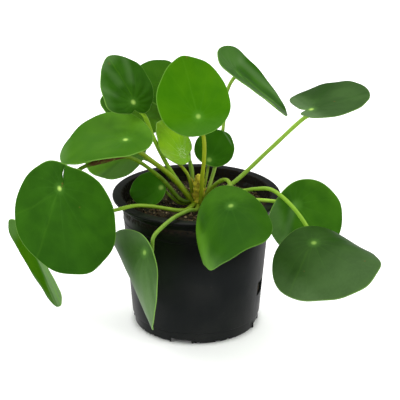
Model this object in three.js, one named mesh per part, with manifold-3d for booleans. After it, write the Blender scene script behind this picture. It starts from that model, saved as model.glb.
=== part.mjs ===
// A pilea in a round black nursery pot. Millimetres, +Z up.
// The origin is the middle of the pot's base, on the surface that the pot stands on.
// The front of the plant looks along -Y, and +X is to the right seen from there.
import * as THREE from "three";
import { mergeVertices } from "three/addons/utils/BufferGeometryUtils.js";
import Module from "manifold-3d";

// Pot: heights above the surface that it stands on, and radii of its outer side
const POT_HEIGHT = 98;
const RIM_RADIUS = 60;
const RIM_THICKNESS = 2.4;
const COLLAR_RADIUS = 54.2;
const COLLAR_BOTTOM = 90;
const WALL_TOP_RADIUS = 52.9;
const FOOT_RADIUS = 45.6;
const WALL = 1.4;
const FLOOR = 1.8;
const POT_SEGMENTS = 40;

// Drainage: channels under the floor that end in notches of the foot
const CHANNEL_WIDTH = 14.6;
const CHANNEL_HEIGHT = 4.4;
const CHANNEL_START = 15;
const CHANNEL_TURNS = [-103, -13, 77, 167];
const NARROW_NOTCH_WIDTH = 3.2;
const NARROW_NOTCH_TURNS = [-58, 32, 122, 212];
const DRAIN_RADIUS = 4;
const DRAIN_CENTRE = 30;
const SLOT_TURNS = [-6, 174];
const SLOT_WIDTH = 12;
const SLOT_BOTTOM = 26;
const SLOT_TOP = 36.5;

// Soil
const SOIL_TOP = 88;
const SOIL_BUMP = 0.9;
const GAP = 0.3;

// Stem: it stands in a plain hole in the soil
const STEM_X = 1.5;
const STEM_RADIUS = 3.6;
const STEM_BOTTOM = 74;
const STEM_TOP = 112;
const STEM_SEGMENTS = 12;
const SCAR_STEP = 4.2;

// Blades
const BLADE_THICKNESS = 0.8;
const BLADE_RINGS = [0.12, 0.45, 0.75, 1];
const BLADE_COLUMNS = 28;
const SMALL_BLADE_COLUMNS = 22;
const SMALL_BLADE_LENGTH = 40;
const WAVE = 0.7;
const SLIT_HALF_ANGLE = 2.5;

// Stalks
const STALK_SIDES = 8;
const STALK_STEP = 7;
const STALK_NECK = 5;

// The leaves. The navel is the point where the stalk joins the blade, and navelAt is its share
// of the blade's length, from the base edge. Heading, pitch and roll turn the blade: the tip
// points along heading (0 is +X, 90 is +Y) and rises by pitch, and roll lifts the left side.
// Offset shifts the blade's middle line to its left, egg moves the widest place towards the
// base, and point narrows the tip. Droop bends the tip and the base down, and curl bends the
// left and the right side down, each in degrees for a whole blade. A slit is open from the base
// edge to the navel, turned from the base by its angle. The stalk leaves the stem at root, a turn
// about it and a height, and passes its points.
const LEAVES = [
  {
    name: "leaf_01",
    navel: [-92, -56, 122],
    heading: -65,
    pitch: -83,
    roll: 58,
    length: 80,
    width: 78,
    navelAt: 0.23,
    egg: -0.06,
    point: 0.02,
    droop: [6, 0],
    curl: [88, -25],
    slit: -12,
    root: [-157, 93],
    stalk: [
      [-10, -6, 94], [-25, -11, 113], [-48, -23, 133], [-63, -31, 135],
      [-78, -37, 131], [-86, -45, 126],
    ],
    stalkRadius: 1.35,
  },
  {
    name: "leaf_02",
    navel: [-120, -10, 59],
    heading: 56,
    pitch: -68,
    roll: -154,
    length: 74,
    width: 72,
    navelAt: 0.27,
    egg: 0.07,
    point: 0.04,
    droop: [5, 10],
    curl: [4, 0],
    root: [-133, 90.6],
    stalk: [
      [-7, -15, 90.5], [-12, -20, 92], [-32, -32, 100], [-43, -38, 102.5],
      [-56, -40, 100], [-80, -26, 89], [-100, -11, 74],
    ],
    stalkRadius: 1.3,
  },
  {
    name: "leaf_03",
    navel: [-35, -72, 80],
    heading: 152,
    pitch: -51,
    roll: -62,
    length: 67,
    width: 72,
    navelAt: 0.15,
    offset: 1,
    egg: -0.16,
    point: -0.08,
    droop: [74, 35],
    curl: [4, 0],
    root: [-93, 90.2],
    stalk: [[0, -14, 91], [-5, -26, 95], [-14, -50, 101], [-20, -60, 100], [-27, -68, 93]],
    stalkRadius: 1.3,
  },
  {
    name: "leaf_04",
    navel: [-49, -22, 145],
    heading: 176,
    pitch: -3,
    roll: -13,
    length: 66,
    width: 62,
    navelAt: 0.26,
    offset: -1,
    egg: 0.02,
    point: 0.03,
    droop: [39, 23],
    curl: [-29, -39],
    root: [-155, 97],
    stalk: [[-9, -5, 101], [-18, -9, 114], [-30, -14, 126], [-40, -18, 135]],
    stalkRadius: 1.35,
  },
  {
    name: "leaf_05",
    navel: [-48, 2, 125],
    heading: 154,
    pitch: -3,
    roll: -30,
    length: 48,
    width: 46,
    navelAt: 0.26,
    egg: 0.07,
    point: 0.12,
    droop: [6, 9],
    curl: [14, 8],
    root: [165, 94.5],
    stalk: [[-13, 3, 99], [-26, 5, 110], [-38, 6, 118]],
    stalkRadius: 1.2,
  },
  {
    name: "leaf_06",
    navel: [-45, 0, 167],
    heading: 126,
    pitch: 55,
    roll: 0,
    length: 47,
    width: 43,
    navelAt: 0.22,
    egg: 0.13,
    point: 0.10,
    droop: [21, -5],
    curl: [17, 18],
    root: [175, 99],
    stalk: [[-10, -1, 102], [-17, 0, 112], [-25, 0, 127], [-31, 1, 140], [-38, 3, 156]],
    stalkRadius: 1.3,
  },
  {
    name: "leaf_07",
    navel: [-34, 34, 146],
    heading: 142,
    pitch: 17,
    roll: -2,
    length: 57,
    width: 54,
    navelAt: 0.27,
    egg: 0.07,
    point: 0.11,
    droop: [11, 15],
    curl: [16, 12],
    root: [140, 97],
    stalk: [[-8, 9, 104], [-23, 24, 125]],
    stalkRadius: 1.2,
  },
  {
    name: "leaf_08",
    navel: [-25, 37, 161],
    heading: 80,
    pitch: 25,
    roll: 28,
    length: 49,
    width: 46,
    navelAt: 0.27,
    egg: 0.06,
    point: 0.11,
    droop: [15, 15],
    curl: [16, 15],
    root: [110, 99],
    stalk: [[-4, 14, 107], [-5, 22, 113], [-6, 29, 121], [-9, 33, 137], [-17, 36, 151]],
    stalkRadius: 1.2,
  },
  {
    name: "leaf_09",
    navel: [1, -12, 159],
    heading: 123,
    pitch: 60,
    roll: -16,
    length: 57,
    width: 53,
    navelAt: 0.24,
    egg: 0.12,
    point: 0.15,
    droop: [-1, 5],
    curl: [13, 11],
    root: [-75, 96],
    stalk: [[4, -6, 113], [4, -7, 123], [5, -8, 143]],
    stalkRadius: 1.35,
  },
  {
    name: "leaf_10",
    navel: [-10, 8, 122],
    heading: 156,
    pitch: 62,
    roll: -4,
    length: 36,
    width: 34,
    navelAt: 0.15,
    offset: -1,
    egg: 0.02,
    point: 0.08,
    droop: [27, 16],
    curl: [14, -10],
    root: [150, 101.5],
    stalk: [[-6, 5, 109]],
    stalkRadius: 1.05,
  },
  {
    name: "leaf_11",
    navel: [9, 13, 120],
    heading: 54,
    pitch: 41,
    roll: 28,
    length: 31,
    width: 29,
    navelAt: 0.21,
    egg: 0.05,
    point: 0.08,
    droop: [13, 14],
    curl: [12, 13],
    root: [80, 102],
    stalk: [[7, 8, 107]],
    stalkRadius: 0.9,
  },
  {
    name: "leaf_12",
    navel: [29, 33, 176],
    heading: 21,
    pitch: -42,
    roll: 13,
    length: 71,
    width: 68,
    navelAt: 0.28,
    offset: 1,
    egg: 0.15,
    point: 0.20,
    droop: [-5, 38],
    curl: [-51, -32],
    root: [55, 97],
    stalk: [[12, 18, 106], [15, 26, 115], [19, 35, 135], [21, 36, 160]],
    stalkRadius: 1.25,
  },
  {
    name: "leaf_13",
    navel: [81, 15, 157],
    heading: 40,
    pitch: 13,
    roll: -2,
    length: 61,
    width: 59,
    navelAt: 0.22,
    egg: 0.05,
    point: 0.04,
    droop: [6, -2],
    curl: [11, 0],
    slit: 0,
    root: [13, 90.5],
    stalk: [[26, 6, 103], [52, 11, 127], [73, 14, 148]],
    stalkRadius: 1.3,
  },
  {
    name: "leaf_14",
    navel: [-29, -7, 104],
    heading: 165,
    pitch: -12,
    roll: -58,
    length: 28,
    width: 26,
    navelAt: 0.23,
    droop: [15, 15],
    curl: [15, 15],
    root: [-172, 89.8],
    stalk: [[-12, -3, 91], [-19, -6, 98]],
    stalkRadius: 1,
  },
  {
    name: "leaf_15",
    navel: [22, -69, 118],
    heading: -77,
    pitch: -19,
    roll: 15,
    length: 67,
    width: 63,
    navelAt: 0.26,
    offset: -7,
    egg: -0.05,
    point: -0.07,
    droop: [0, 0],
    curl: [105, 130],
    root: [-55, 92.4],
    stalk: [
      [11, -12, 106], [15, -17, 112], [20, -24, 117], [23, -34, 117.5],
      [23, -46, 111], [22, -60, 108.5],
    ],
    stalkRadius: 1.3,
  },
  {
    name: "leaf_16",
    navel: [70, -28, 100],
    heading: 6,
    pitch: -52,
    roll: 64,
    length: 58,
    width: 54,
    navelAt: 0.26,
    offset: -1,
    egg: 0.10,
    point: -0.08,
    droop: [0, 0],
    curl: [-6, 88],
    root: [-22, 91],
    stalk: [[24, -10, 96], [42, -18, 100.5], [53, -21, 101], [61, -20, 99]],
    stalkRadius: 1.2,
  },
  {
    name: "leaf_17",
    navel: [79, -72, 90],
    heading: -46,
    pitch: -11,
    roll: 19,
    length: 75,
    width: 75,
    navelAt: 0.26,
    offset: -5,
    egg: 0.10,
    point: 0.13,
    droop: [-8, 34],
    curl: [126, 53],
    root: [-8, 95],
    stalk: [
      [31, -14, 106], [42, -22, 112], [52, -30, 115], [65, -41, 107],
      [76, -49, 93], [80, -59, 83],
    ],
    stalkRadius: 1.35,
  },
];

// Looks of each material
const LOOKS = {
  pot: { color: 0x1b1e1f, roughness: 0.45, metalness: 0 },
  soil: { color: 0x2b201a, roughness: 0.95, metalness: 0 },
  stem: { color: 0x7c7a2c, roughness: 0.7, metalness: 0 },
  stalk: { color: 0x86b53a, roughness: 0.45, metalness: 0 },
  blade: { color: 0x2f6a1c, roughness: 0.4, metalness: 0 },
  youngBlade: { color: 0x7fae22, roughness: 0.35, metalness: 0 },
};

const wasm = await Module();
wasm.setup();

const rad = THREE.MathUtils.degToRad;

// Closed geometry with its shared corners merged and its flat triangles left out
function closed(geometry) {
  const bare = geometry.index ? geometry.toNonIndexed() : geometry.clone();
  bare.deleteAttribute("normal");
  bare.deleteAttribute("uv");
  const merged = mergeVertices(bare, 1e-4);
  const corners = merged.index.array;
  const kept = [];
  for (let i = 0; i < corners.length; i += 3) {
    const [a, b, c] = [corners[i], corners[i + 1], corners[i + 2]];
    if (a !== b && b !== c && c !== a) kept.push(a, b, c);
  }
  merged.setIndex(kept);
  return merged;
}

function toSolid(geometry) {
  const merged = closed(geometry);
  return new wasm.Manifold(
    new wasm.Mesh({
      numProp: 3,
      vertProperties: new Float32Array(merged.attributes.position.array),
      triVerts: new Uint32Array(merged.index.array),
    }),
  );
}

function fromSolid(solid) {
  const mesh = solid.getMesh();
  const geometry = new THREE.BufferGeometry();
  geometry.setAttribute("position", new THREE.BufferAttribute(mesh.vertProperties, 3));
  geometry.setIndex(new THREE.BufferAttribute(mesh.triVerts, 1));
  geometry.computeVertexNormals();
  return geometry;
}

// A closed profile of [radius, height] pairs, counted upwards on the outside, turned about Z
function turned(profile, segments) {
  const points = profile.map(([radius, height]) => new THREE.Vector2(radius, height));
  const geometry = new THREE.LatheGeometry(points, segments);
  geometry.rotateX(Math.PI / 2);
  return closed(geometry);
}

// A box that points outwards along a turn about Z, from one radius to another
function radialBox(turn, inner, outer, width, bottom, top) {
  const geometry = new THREE.BoxGeometry(outer - inner, width, top - bottom);
  geometry.translate((inner + outer) / 2, 0, (bottom + top) / 2);
  geometry.rotateZ(rad(turn));
  return geometry;
}

function named(name, geometry, look) {
  const mesh = new THREE.Mesh(geometry, new THREE.MeshStandardMaterial(look));
  mesh.name = name;
  return mesh;
}

// Radius of the wall's outer side at a height
function wallRadius(height) {
  const share = height / COLLAR_BOTTOM;
  return FOOT_RADIUS + (WALL_TOP_RADIUS - FOOT_RADIUS) * share;
}

function potGeometry() {
  const lipBottom = POT_HEIGHT - RIM_THICKNESS;
  const inside = COLLAR_RADIUS - WALL;
  const shell = turned(
    [
      [0, 0],
      [FOOT_RADIUS - 1, 0],
      [FOOT_RADIUS, 1],
      [wallRadius(COLLAR_BOTTOM), COLLAR_BOTTOM],
      [COLLAR_RADIUS, COLLAR_BOTTOM + 1],
      [COLLAR_RADIUS, lipBottom],
      [RIM_RADIUS - 0.6, lipBottom],
      [RIM_RADIUS, lipBottom + 0.8],
      [RIM_RADIUS, POT_HEIGHT - 0.8],
      [RIM_RADIUS - 0.8, POT_HEIGHT],
      [inside, POT_HEIGHT],
      [inside, COLLAR_BOTTOM + 1],
      [wallRadius(COLLAR_BOTTOM) - WALL, COLLAR_BOTTOM - 1],
      [wallRadius(FLOOR) - WALL, FLOOR],
      [0, FLOOR],
    ],
    POT_SEGMENTS,
  );
  let pot = toSolid(shell);
  const roofTop = CHANNEL_HEIGHT + WALL;
  for (const turn of CHANNEL_TURNS) {
    const roof = radialBox(turn, CHANNEL_START - WALL, FOOT_RADIUS - 1, CHANNEL_WIDTH + 2 * WALL, 0.5, roofTop);
    pot = pot.add(toSolid(roof));
  }
  for (const turn of CHANNEL_TURNS) {
    const channel = radialBox(turn, CHANNEL_START, FOOT_RADIUS + 4, CHANNEL_WIDTH, -1, CHANNEL_HEIGHT);
    const drain = new THREE.CylinderGeometry(DRAIN_RADIUS, DRAIN_RADIUS, 10, 12);
    drain.rotateX(Math.PI / 2);
    drain.translate(DRAIN_CENTRE, 0, CHANNEL_HEIGHT);
    drain.rotateZ(rad(turn));
    pot = pot.subtract(toSolid(channel)).subtract(toSolid(drain));
  }
  for (const turn of NARROW_NOTCH_TURNS) {
    const notch = radialBox(turn, FOOT_RADIUS - 4, FOOT_RADIUS + 4, NARROW_NOTCH_WIDTH, -1, CHANNEL_HEIGHT - 1);
    pot = pot.subtract(toSolid(notch));
  }
  for (const turn of SLOT_TURNS) {
    const slot = radialBox(turn, FOOT_RADIUS - 4, WALL_TOP_RADIUS + 4, SLOT_WIDTH, SLOT_BOTTOM, SLOT_TOP);
    pot = pot.subtract(toSolid(slot));
  }
  return fromSolid(pot);
}

// Lumps of the soil's surface, level at the stem's hole and at the wall
function soilLift(x, y) {
  const reach = Math.hypot(x, y) / (WALL_TOP_RADIUS - WALL);
  const calm = Math.sin(Math.PI * THREE.MathUtils.clamp(reach, 0, 1));
  const lumps = Math.sin(0.31 * x + 1) * Math.cos(0.27 * y) + 0.6 * Math.sin(0.52 * x - 0.47 * y);
  return SOIL_BUMP * calm * lumps;
}

function soilGeometry() {
  const hole = STEM_RADIUS + GAP + 0.2;
  const bottom = CHANNEL_HEIGHT + WALL + GAP;
  const side = (height) => wallRadius(height) - WALL - GAP;
  const shell = turned(
    [
      [0, bottom],
      [side(bottom), bottom],
      [side(SOIL_TOP), SOIL_TOP],
      [43, SOIL_TOP],
      [34, SOIL_TOP],
      [25, SOIL_TOP],
      [16, SOIL_TOP],
      [9, SOIL_TOP],
      [hole, SOIL_TOP],
      [hole, STEM_BOTTOM - GAP],
      [0, STEM_BOTTOM - GAP],
    ],
    POT_SEGMENTS,
  );
  const place = shell.attributes.position;
  for (let i = 0; i < place.count; i += 1) {
    const [x, y, z] = [place.getX(i), place.getY(i), place.getZ(i)];
    const share = 1 - THREE.MathUtils.clamp(Math.hypot(x, y) / 20, 0, 1);
    place.setX(i, x + STEM_X * share);
    if (z > SOIL_TOP - 1) place.setZ(i, z + soilLift(x, y));
  }
  shell.computeVertexNormals();
  return shell;
}

// Radius of the stem at a height, thicker at each leaf scar
function stemRadius(height) {
  const taper = THREE.MathUtils.smoothstep(height, STEM_TOP - 12, STEM_TOP) * 1.3;
  const scar = height > SOIL_TOP ? 0.25 * Math.cos((2 * Math.PI * (height - SOIL_TOP)) / SCAR_STEP) : 0;
  return STEM_RADIUS - 0.25 - taper + scar;
}

function stemGeometry() {
  const profile = [[0, STEM_BOTTOM], [STEM_RADIUS - 1.2, STEM_BOTTOM]];
  for (let height = STEM_BOTTOM + 1; height < STEM_TOP - 1; height += SCAR_STEP / 2) {
    profile.push([stemRadius(height), height]);
  }
  profile.push([stemRadius(STEM_TOP - 1) * 0.8, STEM_TOP - 0.6]);
  profile.push([0, STEM_TOP]);
  return turned(profile, STEM_SEGMENTS);
}

// Edge of a flat blade at a turn about its middle: 0 is the tip, and PI is the base
function bladeEdge(leaf, turn) {
  const { length, width, navelAt, offset = 0, egg = 0.06, point = 0.1 } = leaf;
  const along = length * (0.5 - navelAt) + 0.5 * length * Math.cos(turn);
  const narrow = 1 - point * (0.5 + 0.5 * Math.cos(turn)) ** 3;
  const across = 0.5 * width * Math.sin(turn) * (1 - egg * Math.cos(turn)) * narrow;
  return [along, across + offset];
}

// A stretch of a blade bent down by a curvature, with its length kept
function bent(stretch, curvature) {
  if (Math.abs(curvature) < 1e-6) return [stretch, 0];
  return [Math.sin(curvature * stretch) / curvature, -(1 - Math.cos(curvature * stretch)) / curvature];
}

// Point in the middle of a blade's thickness, at a turn and at a share of the way to its edge
function bladePoint(leaf, turn, reach) {
  const [edgeAlong, edgeAcross] = bladeEdge(leaf, turn);
  const along = edgeAlong * reach;
  const across = edgeAcross * reach;
  const droop = rad(leaf.droop[along > 0 ? 0 : 1]) / leaf.length;
  const curl = rad(leaf.curl[across > 0 ? 0 : 1]) / leaf.width;
  const [x, dropAlong] = bent(along, droop);
  const [y, dropAcross] = bent(across, curl);
  const wave = WAVE * reach * reach * Math.cos(3 * turn + leaf.navel[0]);
  return new THREE.Vector3(x, y, dropAlong + dropAcross + wave);
}

function bladeNormal(leaf, turn, reach) {
  if (reach === 0) return new THREE.Vector3(0, 0, 1);
  const step = 0.01;
  const round = bladePoint(leaf, turn + step, reach).sub(bladePoint(leaf, turn - step, reach));
  const out = bladePoint(leaf, turn, reach + step).sub(bladePoint(leaf, turn, reach - step));
  return out.cross(round).normalize();
}

// The two faces of a blade have the same net of triangles, joined by a strip round the edge
function bladeGeometry(leaf) {
  const columns = leaf.length < SMALL_BLADE_LENGTH ? SMALL_BLADE_COLUMNS : BLADE_COLUMNS;
  const torn = "slit" in leaf;
  const open = torn ? rad(SLIT_HALF_ANGLE) : 0;
  const start = -Math.PI + open + rad(leaf.slit ?? 0);
  const last = torn ? columns + 1 : columns;
  const points = [];
  const triangles = [];
  for (const side of [1, -1]) {
    for (const reach of [0, ...BLADE_RINGS]) {
      for (let column = 0; column < (reach === 0 ? 1 : last); column += 1) {
        const turn = start + ((2 * Math.PI - 2 * open) * column) / columns;
        const point = bladePoint(leaf, turn, reach);
        point.addScaledVector(bladeNormal(leaf, turn, reach), (side * BLADE_THICKNESS) / 2);
        points.push(point.x, point.y, point.z);
      }
    }
  }
  const faceSize = 1 + BLADE_RINGS.length * last;
  const at = (face, ring, column) => face * faceSize + (ring === 0 ? 0 : 1 + (ring - 1) * last + (column % last));
  const rings = BLADE_RINGS.length;
  const face = (a, b, c, upper) => triangles.push(...(upper ? [a, b, c] : [a, c, b]));
  for (const lower of [0, 1]) {
    for (let column = 0; column < columns; column += 1) {
      face(at(lower, 0, 0), at(lower, 1, column), at(lower, 1, column + 1), lower === 0);
      for (let ring = 1; ring < rings; ring += 1) {
        const inner = [at(lower, ring, column), at(lower, ring, column + 1)];
        const outer = [at(lower, ring + 1, column), at(lower, ring + 1, column + 1)];
        face(inner[0], outer[0], outer[1], lower === 0);
        face(inner[0], outer[1], inner[1], lower === 0);
      }
    }
  }
  const strip = (ring, column, nextRing, nextColumn) => {
    const upper = [at(0, ring, column), at(0, nextRing, nextColumn)];
    const lower = [at(1, ring, column), at(1, nextRing, nextColumn)];
    triangles.push(upper[0], lower[0], lower[1], upper[0], lower[1], upper[1]);
  };
  for (let column = 0; column < columns; column += 1) strip(rings, column, rings, column + 1);
  for (let ring = 0; torn && ring < rings; ring += 1) {
    strip(ring, 0, ring + 1, 0);
    strip(ring + 1, columns, ring, columns);
  }
  const geometry = new THREE.BufferGeometry();
  geometry.setAttribute("position", new THREE.Float32BufferAttribute(points, 3));
  geometry.setIndex(triangles);
  geometry.computeVertexNormals();
  return geometry;
}

// Middle line of a stalk. Its foot faces the stem across the gap, and its end meets the navel
// from below at a right angle to the blade.
function stalkCurve(leaf, turn) {
  const navel = new THREE.Vector3(...leaf.navel);
  const down = new THREE.Vector3(0, 0, -1).applyEuler(turn);
  const way = leaf.stalk.map((place) => new THREE.Vector3(...place));
  const [heading, height] = leaf.root;
  const outward = new THREE.Vector3(Math.cos(rad(heading)), Math.sin(rad(heading)), 0);
  const foot = new THREE.Vector3(STEM_X, 0, height).addScaledVector(outward, STEM_RADIUS + GAP);
  const lean = way[0].clone().sub(foot).normalize().cross(outward).length();
  foot.addScaledVector(outward, leaf.stalkRadius * lean);
  const seat = BLADE_THICKNESS / 2 + GAP;
  const neck = navel.clone().addScaledVector(down, seat + STALK_NECK);
  const top = navel.clone().addScaledVector(down, seat);
  return new THREE.CatmullRomCurve3([foot, ...way, neck, top], false, "centripetal");
}

function stalkGeometry(leaf, turn) {
  const path = stalkCurve(leaf, turn);
  const section = new THREE.Shape();
  section.absarc(0, 0, leaf.stalkRadius, 0, 2 * Math.PI);
  return new THREE.ExtrudeGeometry(section, {
    steps: Math.ceil(path.getLength() / STALK_STEP),
    curveSegments: STALK_SIDES / 2,
    bevelEnabled: false,
    extrudePath: path,
  });
}

function leafGroup(leaf) {
  const look = leaf.name === "leaf_10" ? LOOKS.youngBlade : LOOKS.blade;
  const turn = new THREE.Euler(rad(leaf.roll), rad(-leaf.pitch), rad(leaf.heading), "ZYX");
  const blade = named(leaf.name + "_blade", bladeGeometry(leaf), look);
  blade.position.set(...leaf.navel);
  blade.rotation.copy(turn);
  const stalk = named(leaf.name + "_stalk", stalkGeometry(leaf, turn), LOOKS.stalk);
  const group = new THREE.Group();
  group.add(blade, stalk);
  return group;
}

const group = new THREE.Group();
group.add(named("pot", potGeometry(), LOOKS.pot));
group.add(named("soil", soilGeometry(), LOOKS.soil));
const stem = named("stem", stemGeometry(), LOOKS.stem);
stem.position.x = STEM_X;
group.add(stem);
for (const leaf of LEAVES) group.add(leafGroup(leaf));

export default group;
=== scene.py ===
import math
import random
from dataclasses import dataclass

import bmesh
import bpy
import numpy as np
from bpy.props import FloatProperty, FloatVectorProperty, IntProperty, PointerProperty
from mathutils import Matrix, Vector, noise


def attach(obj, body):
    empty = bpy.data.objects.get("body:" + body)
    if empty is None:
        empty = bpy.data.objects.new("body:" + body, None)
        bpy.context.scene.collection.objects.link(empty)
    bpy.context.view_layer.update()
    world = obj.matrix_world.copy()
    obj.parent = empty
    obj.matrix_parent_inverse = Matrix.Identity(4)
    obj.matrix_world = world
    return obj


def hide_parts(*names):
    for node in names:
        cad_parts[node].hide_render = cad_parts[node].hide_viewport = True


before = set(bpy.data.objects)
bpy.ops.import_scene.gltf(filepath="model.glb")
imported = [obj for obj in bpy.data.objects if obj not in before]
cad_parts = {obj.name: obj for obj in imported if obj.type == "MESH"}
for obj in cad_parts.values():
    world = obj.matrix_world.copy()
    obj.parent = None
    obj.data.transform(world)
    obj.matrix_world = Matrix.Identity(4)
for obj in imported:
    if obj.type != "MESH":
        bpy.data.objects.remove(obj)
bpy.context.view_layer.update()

bl_info = {
    "name": "Potted pilea plant",
    "version": (1, 0, 0),
    "blender": (4, 5, 0),
    "location": "3D View > Sidebar > Pilea",
    "description": "Builds a pilea with round leaves in a black nursery pot",
    "category": "Add Mesh",
}

# Sizes are in millimetres here, as in the part's source, and pieces are made in metres.
# The front of the plant looks along -Y, and +X is to the right seen from there.
MM = 0.001
FULL_TURN = 2 * math.pi

# Pot: a flat rim on a collar, over a tapered wall with one raised ring and a foot that steps in
POT_HEIGHT = 98
POT_SEGMENTS = 144
RIM_RADIUS = 60
RIM_THICKNESS = 2.4
LIP_ROUNDING = 1.1
LIP_FILLET = 0.5
INNER_ROUNDING = 0.6
COLLAR_RADIUS = 54.2
COLLAR_BOTTOM = 90
COLLAR_BEVEL = 1.2
LEDGE = 0.4
WALL = 1.4
WALL_TOP_RADIUS = 52.9
WALL_MIDDLE = 50
RING_HEIGHT = 80
RING_WIDTH = 0.7
RING_PROUD = 0.28
FOOT_RADIUS = 45.6
FOOT_ROUNDING = 1.8
FOOT_STEP = 1.1
FOOT_STEP_HEIGHT = 8.5
FLOOR = 1.8
FLAT_RADIUS = 20
AXIS_RADIUS = 0.5
SHARP_ANGLE = 28

# Sections of the pot: the ring's points with their share of its width and how proud they are, and
# the points of two bevels with their steps outwards and upwards from the corner
RING_SECTION = ((-1, 0), (-0.4, RING_PROUD), (0.4, RING_PROUD), (1, 0))
FOOT_STEP_SECTION = ((-FOOT_STEP, -0.6), (-0.3, 0), (0, 0.5))
COLLAR_SECTION = ((-0.25, 0.7), (0, COLLAR_BEVEL))

# Drainage: channels under the floor with a hole in each, notches and uneven nicks in the foot, and
# slots in the wall. Turns are in degrees about the pot, and every cut goes past the pot's skin.
# Unevenness is how far the nicks' turns, widths and heights vary, and how fast.
CHANNEL_TURNS = (-103, -13, 77, 167)
CHANNEL_WIDTH = 14.6
CHANNEL_HEIGHT = 3.0
CHANNEL_START = 15
FLOOR_BEDDING = 0.5
DRAIN_RADIUS = 4
DRAIN_CENTRE = 30
DRAIN_TOP = CHANNEL_HEIGHT + 6
DRAIN_SEGMENTS = 32
NOTCH_TURNS = (-58, 32, 122, 212)
NOTCH_WIDTH = 3.2
NOTCH_HEIGHT = CHANNEL_HEIGHT - 1
NICKS = 26
NICK_WIDTH = 3.4
NICK_HEIGHT = 1.1
NICK_DEPTH = 5
NICK_UNEVENNESS = ((5, 2.1), (0.35, 3.7), (0.4, 1.3))
SLOT_TURNS = (-17, 163)
SLOT_WIDTH = 12
SLOT_BOTTOM = 26
SLOT_TOP = 36.5
CUT_DEPTH = 4
CUT_BOTTOM = -1

# Soil: a plug with a lumpy top. Clods are listed with height, size and layer of noise.
SOIL_TOP = 88
SOIL_BUMP = 0.9
SOIL_SEGMENTS = 150
SOIL_RINGS = 46
SOIL_SIDE_HEIGHTS = (40, 70, SOIL_TOP - 3)
CLODS = ((1, 5.2, 3), (0.6, 2.1, 9), (0.35, 0.9, 5))
SHIFT_REACH = 20
GAP = 0.3

# Loose crumbs and fibres on the soil, between two radii. The least size is a share of the largest,
# knobs and lift are shares of a crumb's own size, and some of the small ones are pale.
CRUMB_SEED = 11
CRUMB_RADII = (7.5, 48.5)
CRUMB_LEAST = 0.28
CRUMB_RARENESS = 2.6
CRUMB_KNOBS = 0.42
CRUMB_KNOB_SCALE = 1.4
CRUMB_SPIN = 6.3
CRUMB_WIDTHS = (0.6, 1)
CRUMB_HEIGHTS = (0.45, 0.8)
CRUMB_LIFT = 0.25
PALE_CRUMBS = 0.16
PALE_CRUMB_SIZE = 1.0
PALE_CRUMB = 0.9
FIBRE_RADIUS = 0.22
FIBRE_POINTS = 7
FIBRE_SIDES = 6
FIBRE_LENGTHS = (3, 9)
FIBRE_SWAY = 0.5
FIBRE_SHARE_OF_LUMPS = 0.3
FIBRE_PALENESS = (0.25, 0.8)
FIBRE_REACH = 46
FIBRE_LIFT = 0.9

# Stem, which stands in a plain hole in the soil. It flares above the soil, has rings, bumps (listed
# with height and size) and scars, and narrows to a dome.
STEM_X = 1.5
STEM_RADIUS = 3.6
STEM_SKIN = 0.1
STEM_AXIS_RADIUS = 0.4
STEM_END_RADIUS = STEM_RADIUS - 1.2
STEM_HOLE = STEM_RADIUS + GAP + 0.2
STEM_BOTTOM = 74
STEM_TOP = 112
STEM_SEGMENTS = 36
STEM_STEP = 0.5
STEM_FLARE = 1.1
FLARE_START, FLARE_WIDEST, FLARE_END = 86, 89, 98
TAPER = 1.7
TAPER_LENGTH = 8
DOME_START = 0.8
DOME_CENTRE = 0.2
DOME_DROP = 1.4
DOME_SHARE = 0.8
STEM_BUMPS = ((0.16, 1.6), (0.12, 0.7))
STEM_RING = 0.25
STEM_RING_STEP = 4.2
SCARS = 12
SCAR_START = 2
SCAR_RISE = 1.7
SCAR_WIDTH = 1.5
SCAR_HEIGHT = 0.8
SCAR_PROUD = 0.3
GOLDEN_TURN = 137.5

# Stipules, the dry scales on the stem: turn about the stem, height, length and width of each
STIPULES = (
    (-150, 93.5, 6.0, 3.6),
    (-110, 96.5, 5.5, 3.4),
    (-62, 93.0, 6.0, 3.8),
    (-15, 97.0, 5.0, 3.2),
    (30, 95.0, 5.5, 3.4),
    (100, 94.5, 5.0, 3.4),
    (-95, 103.0, 5.5, 3.0),
    (-40, 105.0, 5.0, 2.8),
    (160, 104.0, 5.0, 2.8),
    (-120, 108.0, 4.6, 2.2),
    (20, 108.5, 4.4, 2.2),
)
STIPULE_THICKNESS = 0.24
STIPULE_TIP = 0.12
STIPULE_STAND = 0.25
STIPULE_FLARE = 1.5
STIPULE_RIPPLE = 0.12
STIPULE_SAG = 0.12
STIPULE_ROWS = 9
STIPULE_COLUMNS = 7

# Stalks. Knobs are listed with height, length and phase, and ribs with height and number, and the
# heights are shares of the radius.
STALK_SIDES = 14
STALK_STEP = 1.4
STALK_FULLNESS = 1.05
STALK_ROOT_REACH = 45
STALK_COLLAR_SWELL = 0.45
STALK_COLLAR_REACH = 2.2
STALK_KNOBS = ((0.02, 3.1, 1), (0.015, 1.27, 2))
STALK_RIBS = ((0.03, 2), (0.02, 5))
SCAB_SWELL = 0.3
SCAB_FLAT = 0.3
ROOT_SINK = 0.5
ROOT_SINK_LEANING = 0.4
TOP_SINK = 0.3
CURVE_STEPS = 24

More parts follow.
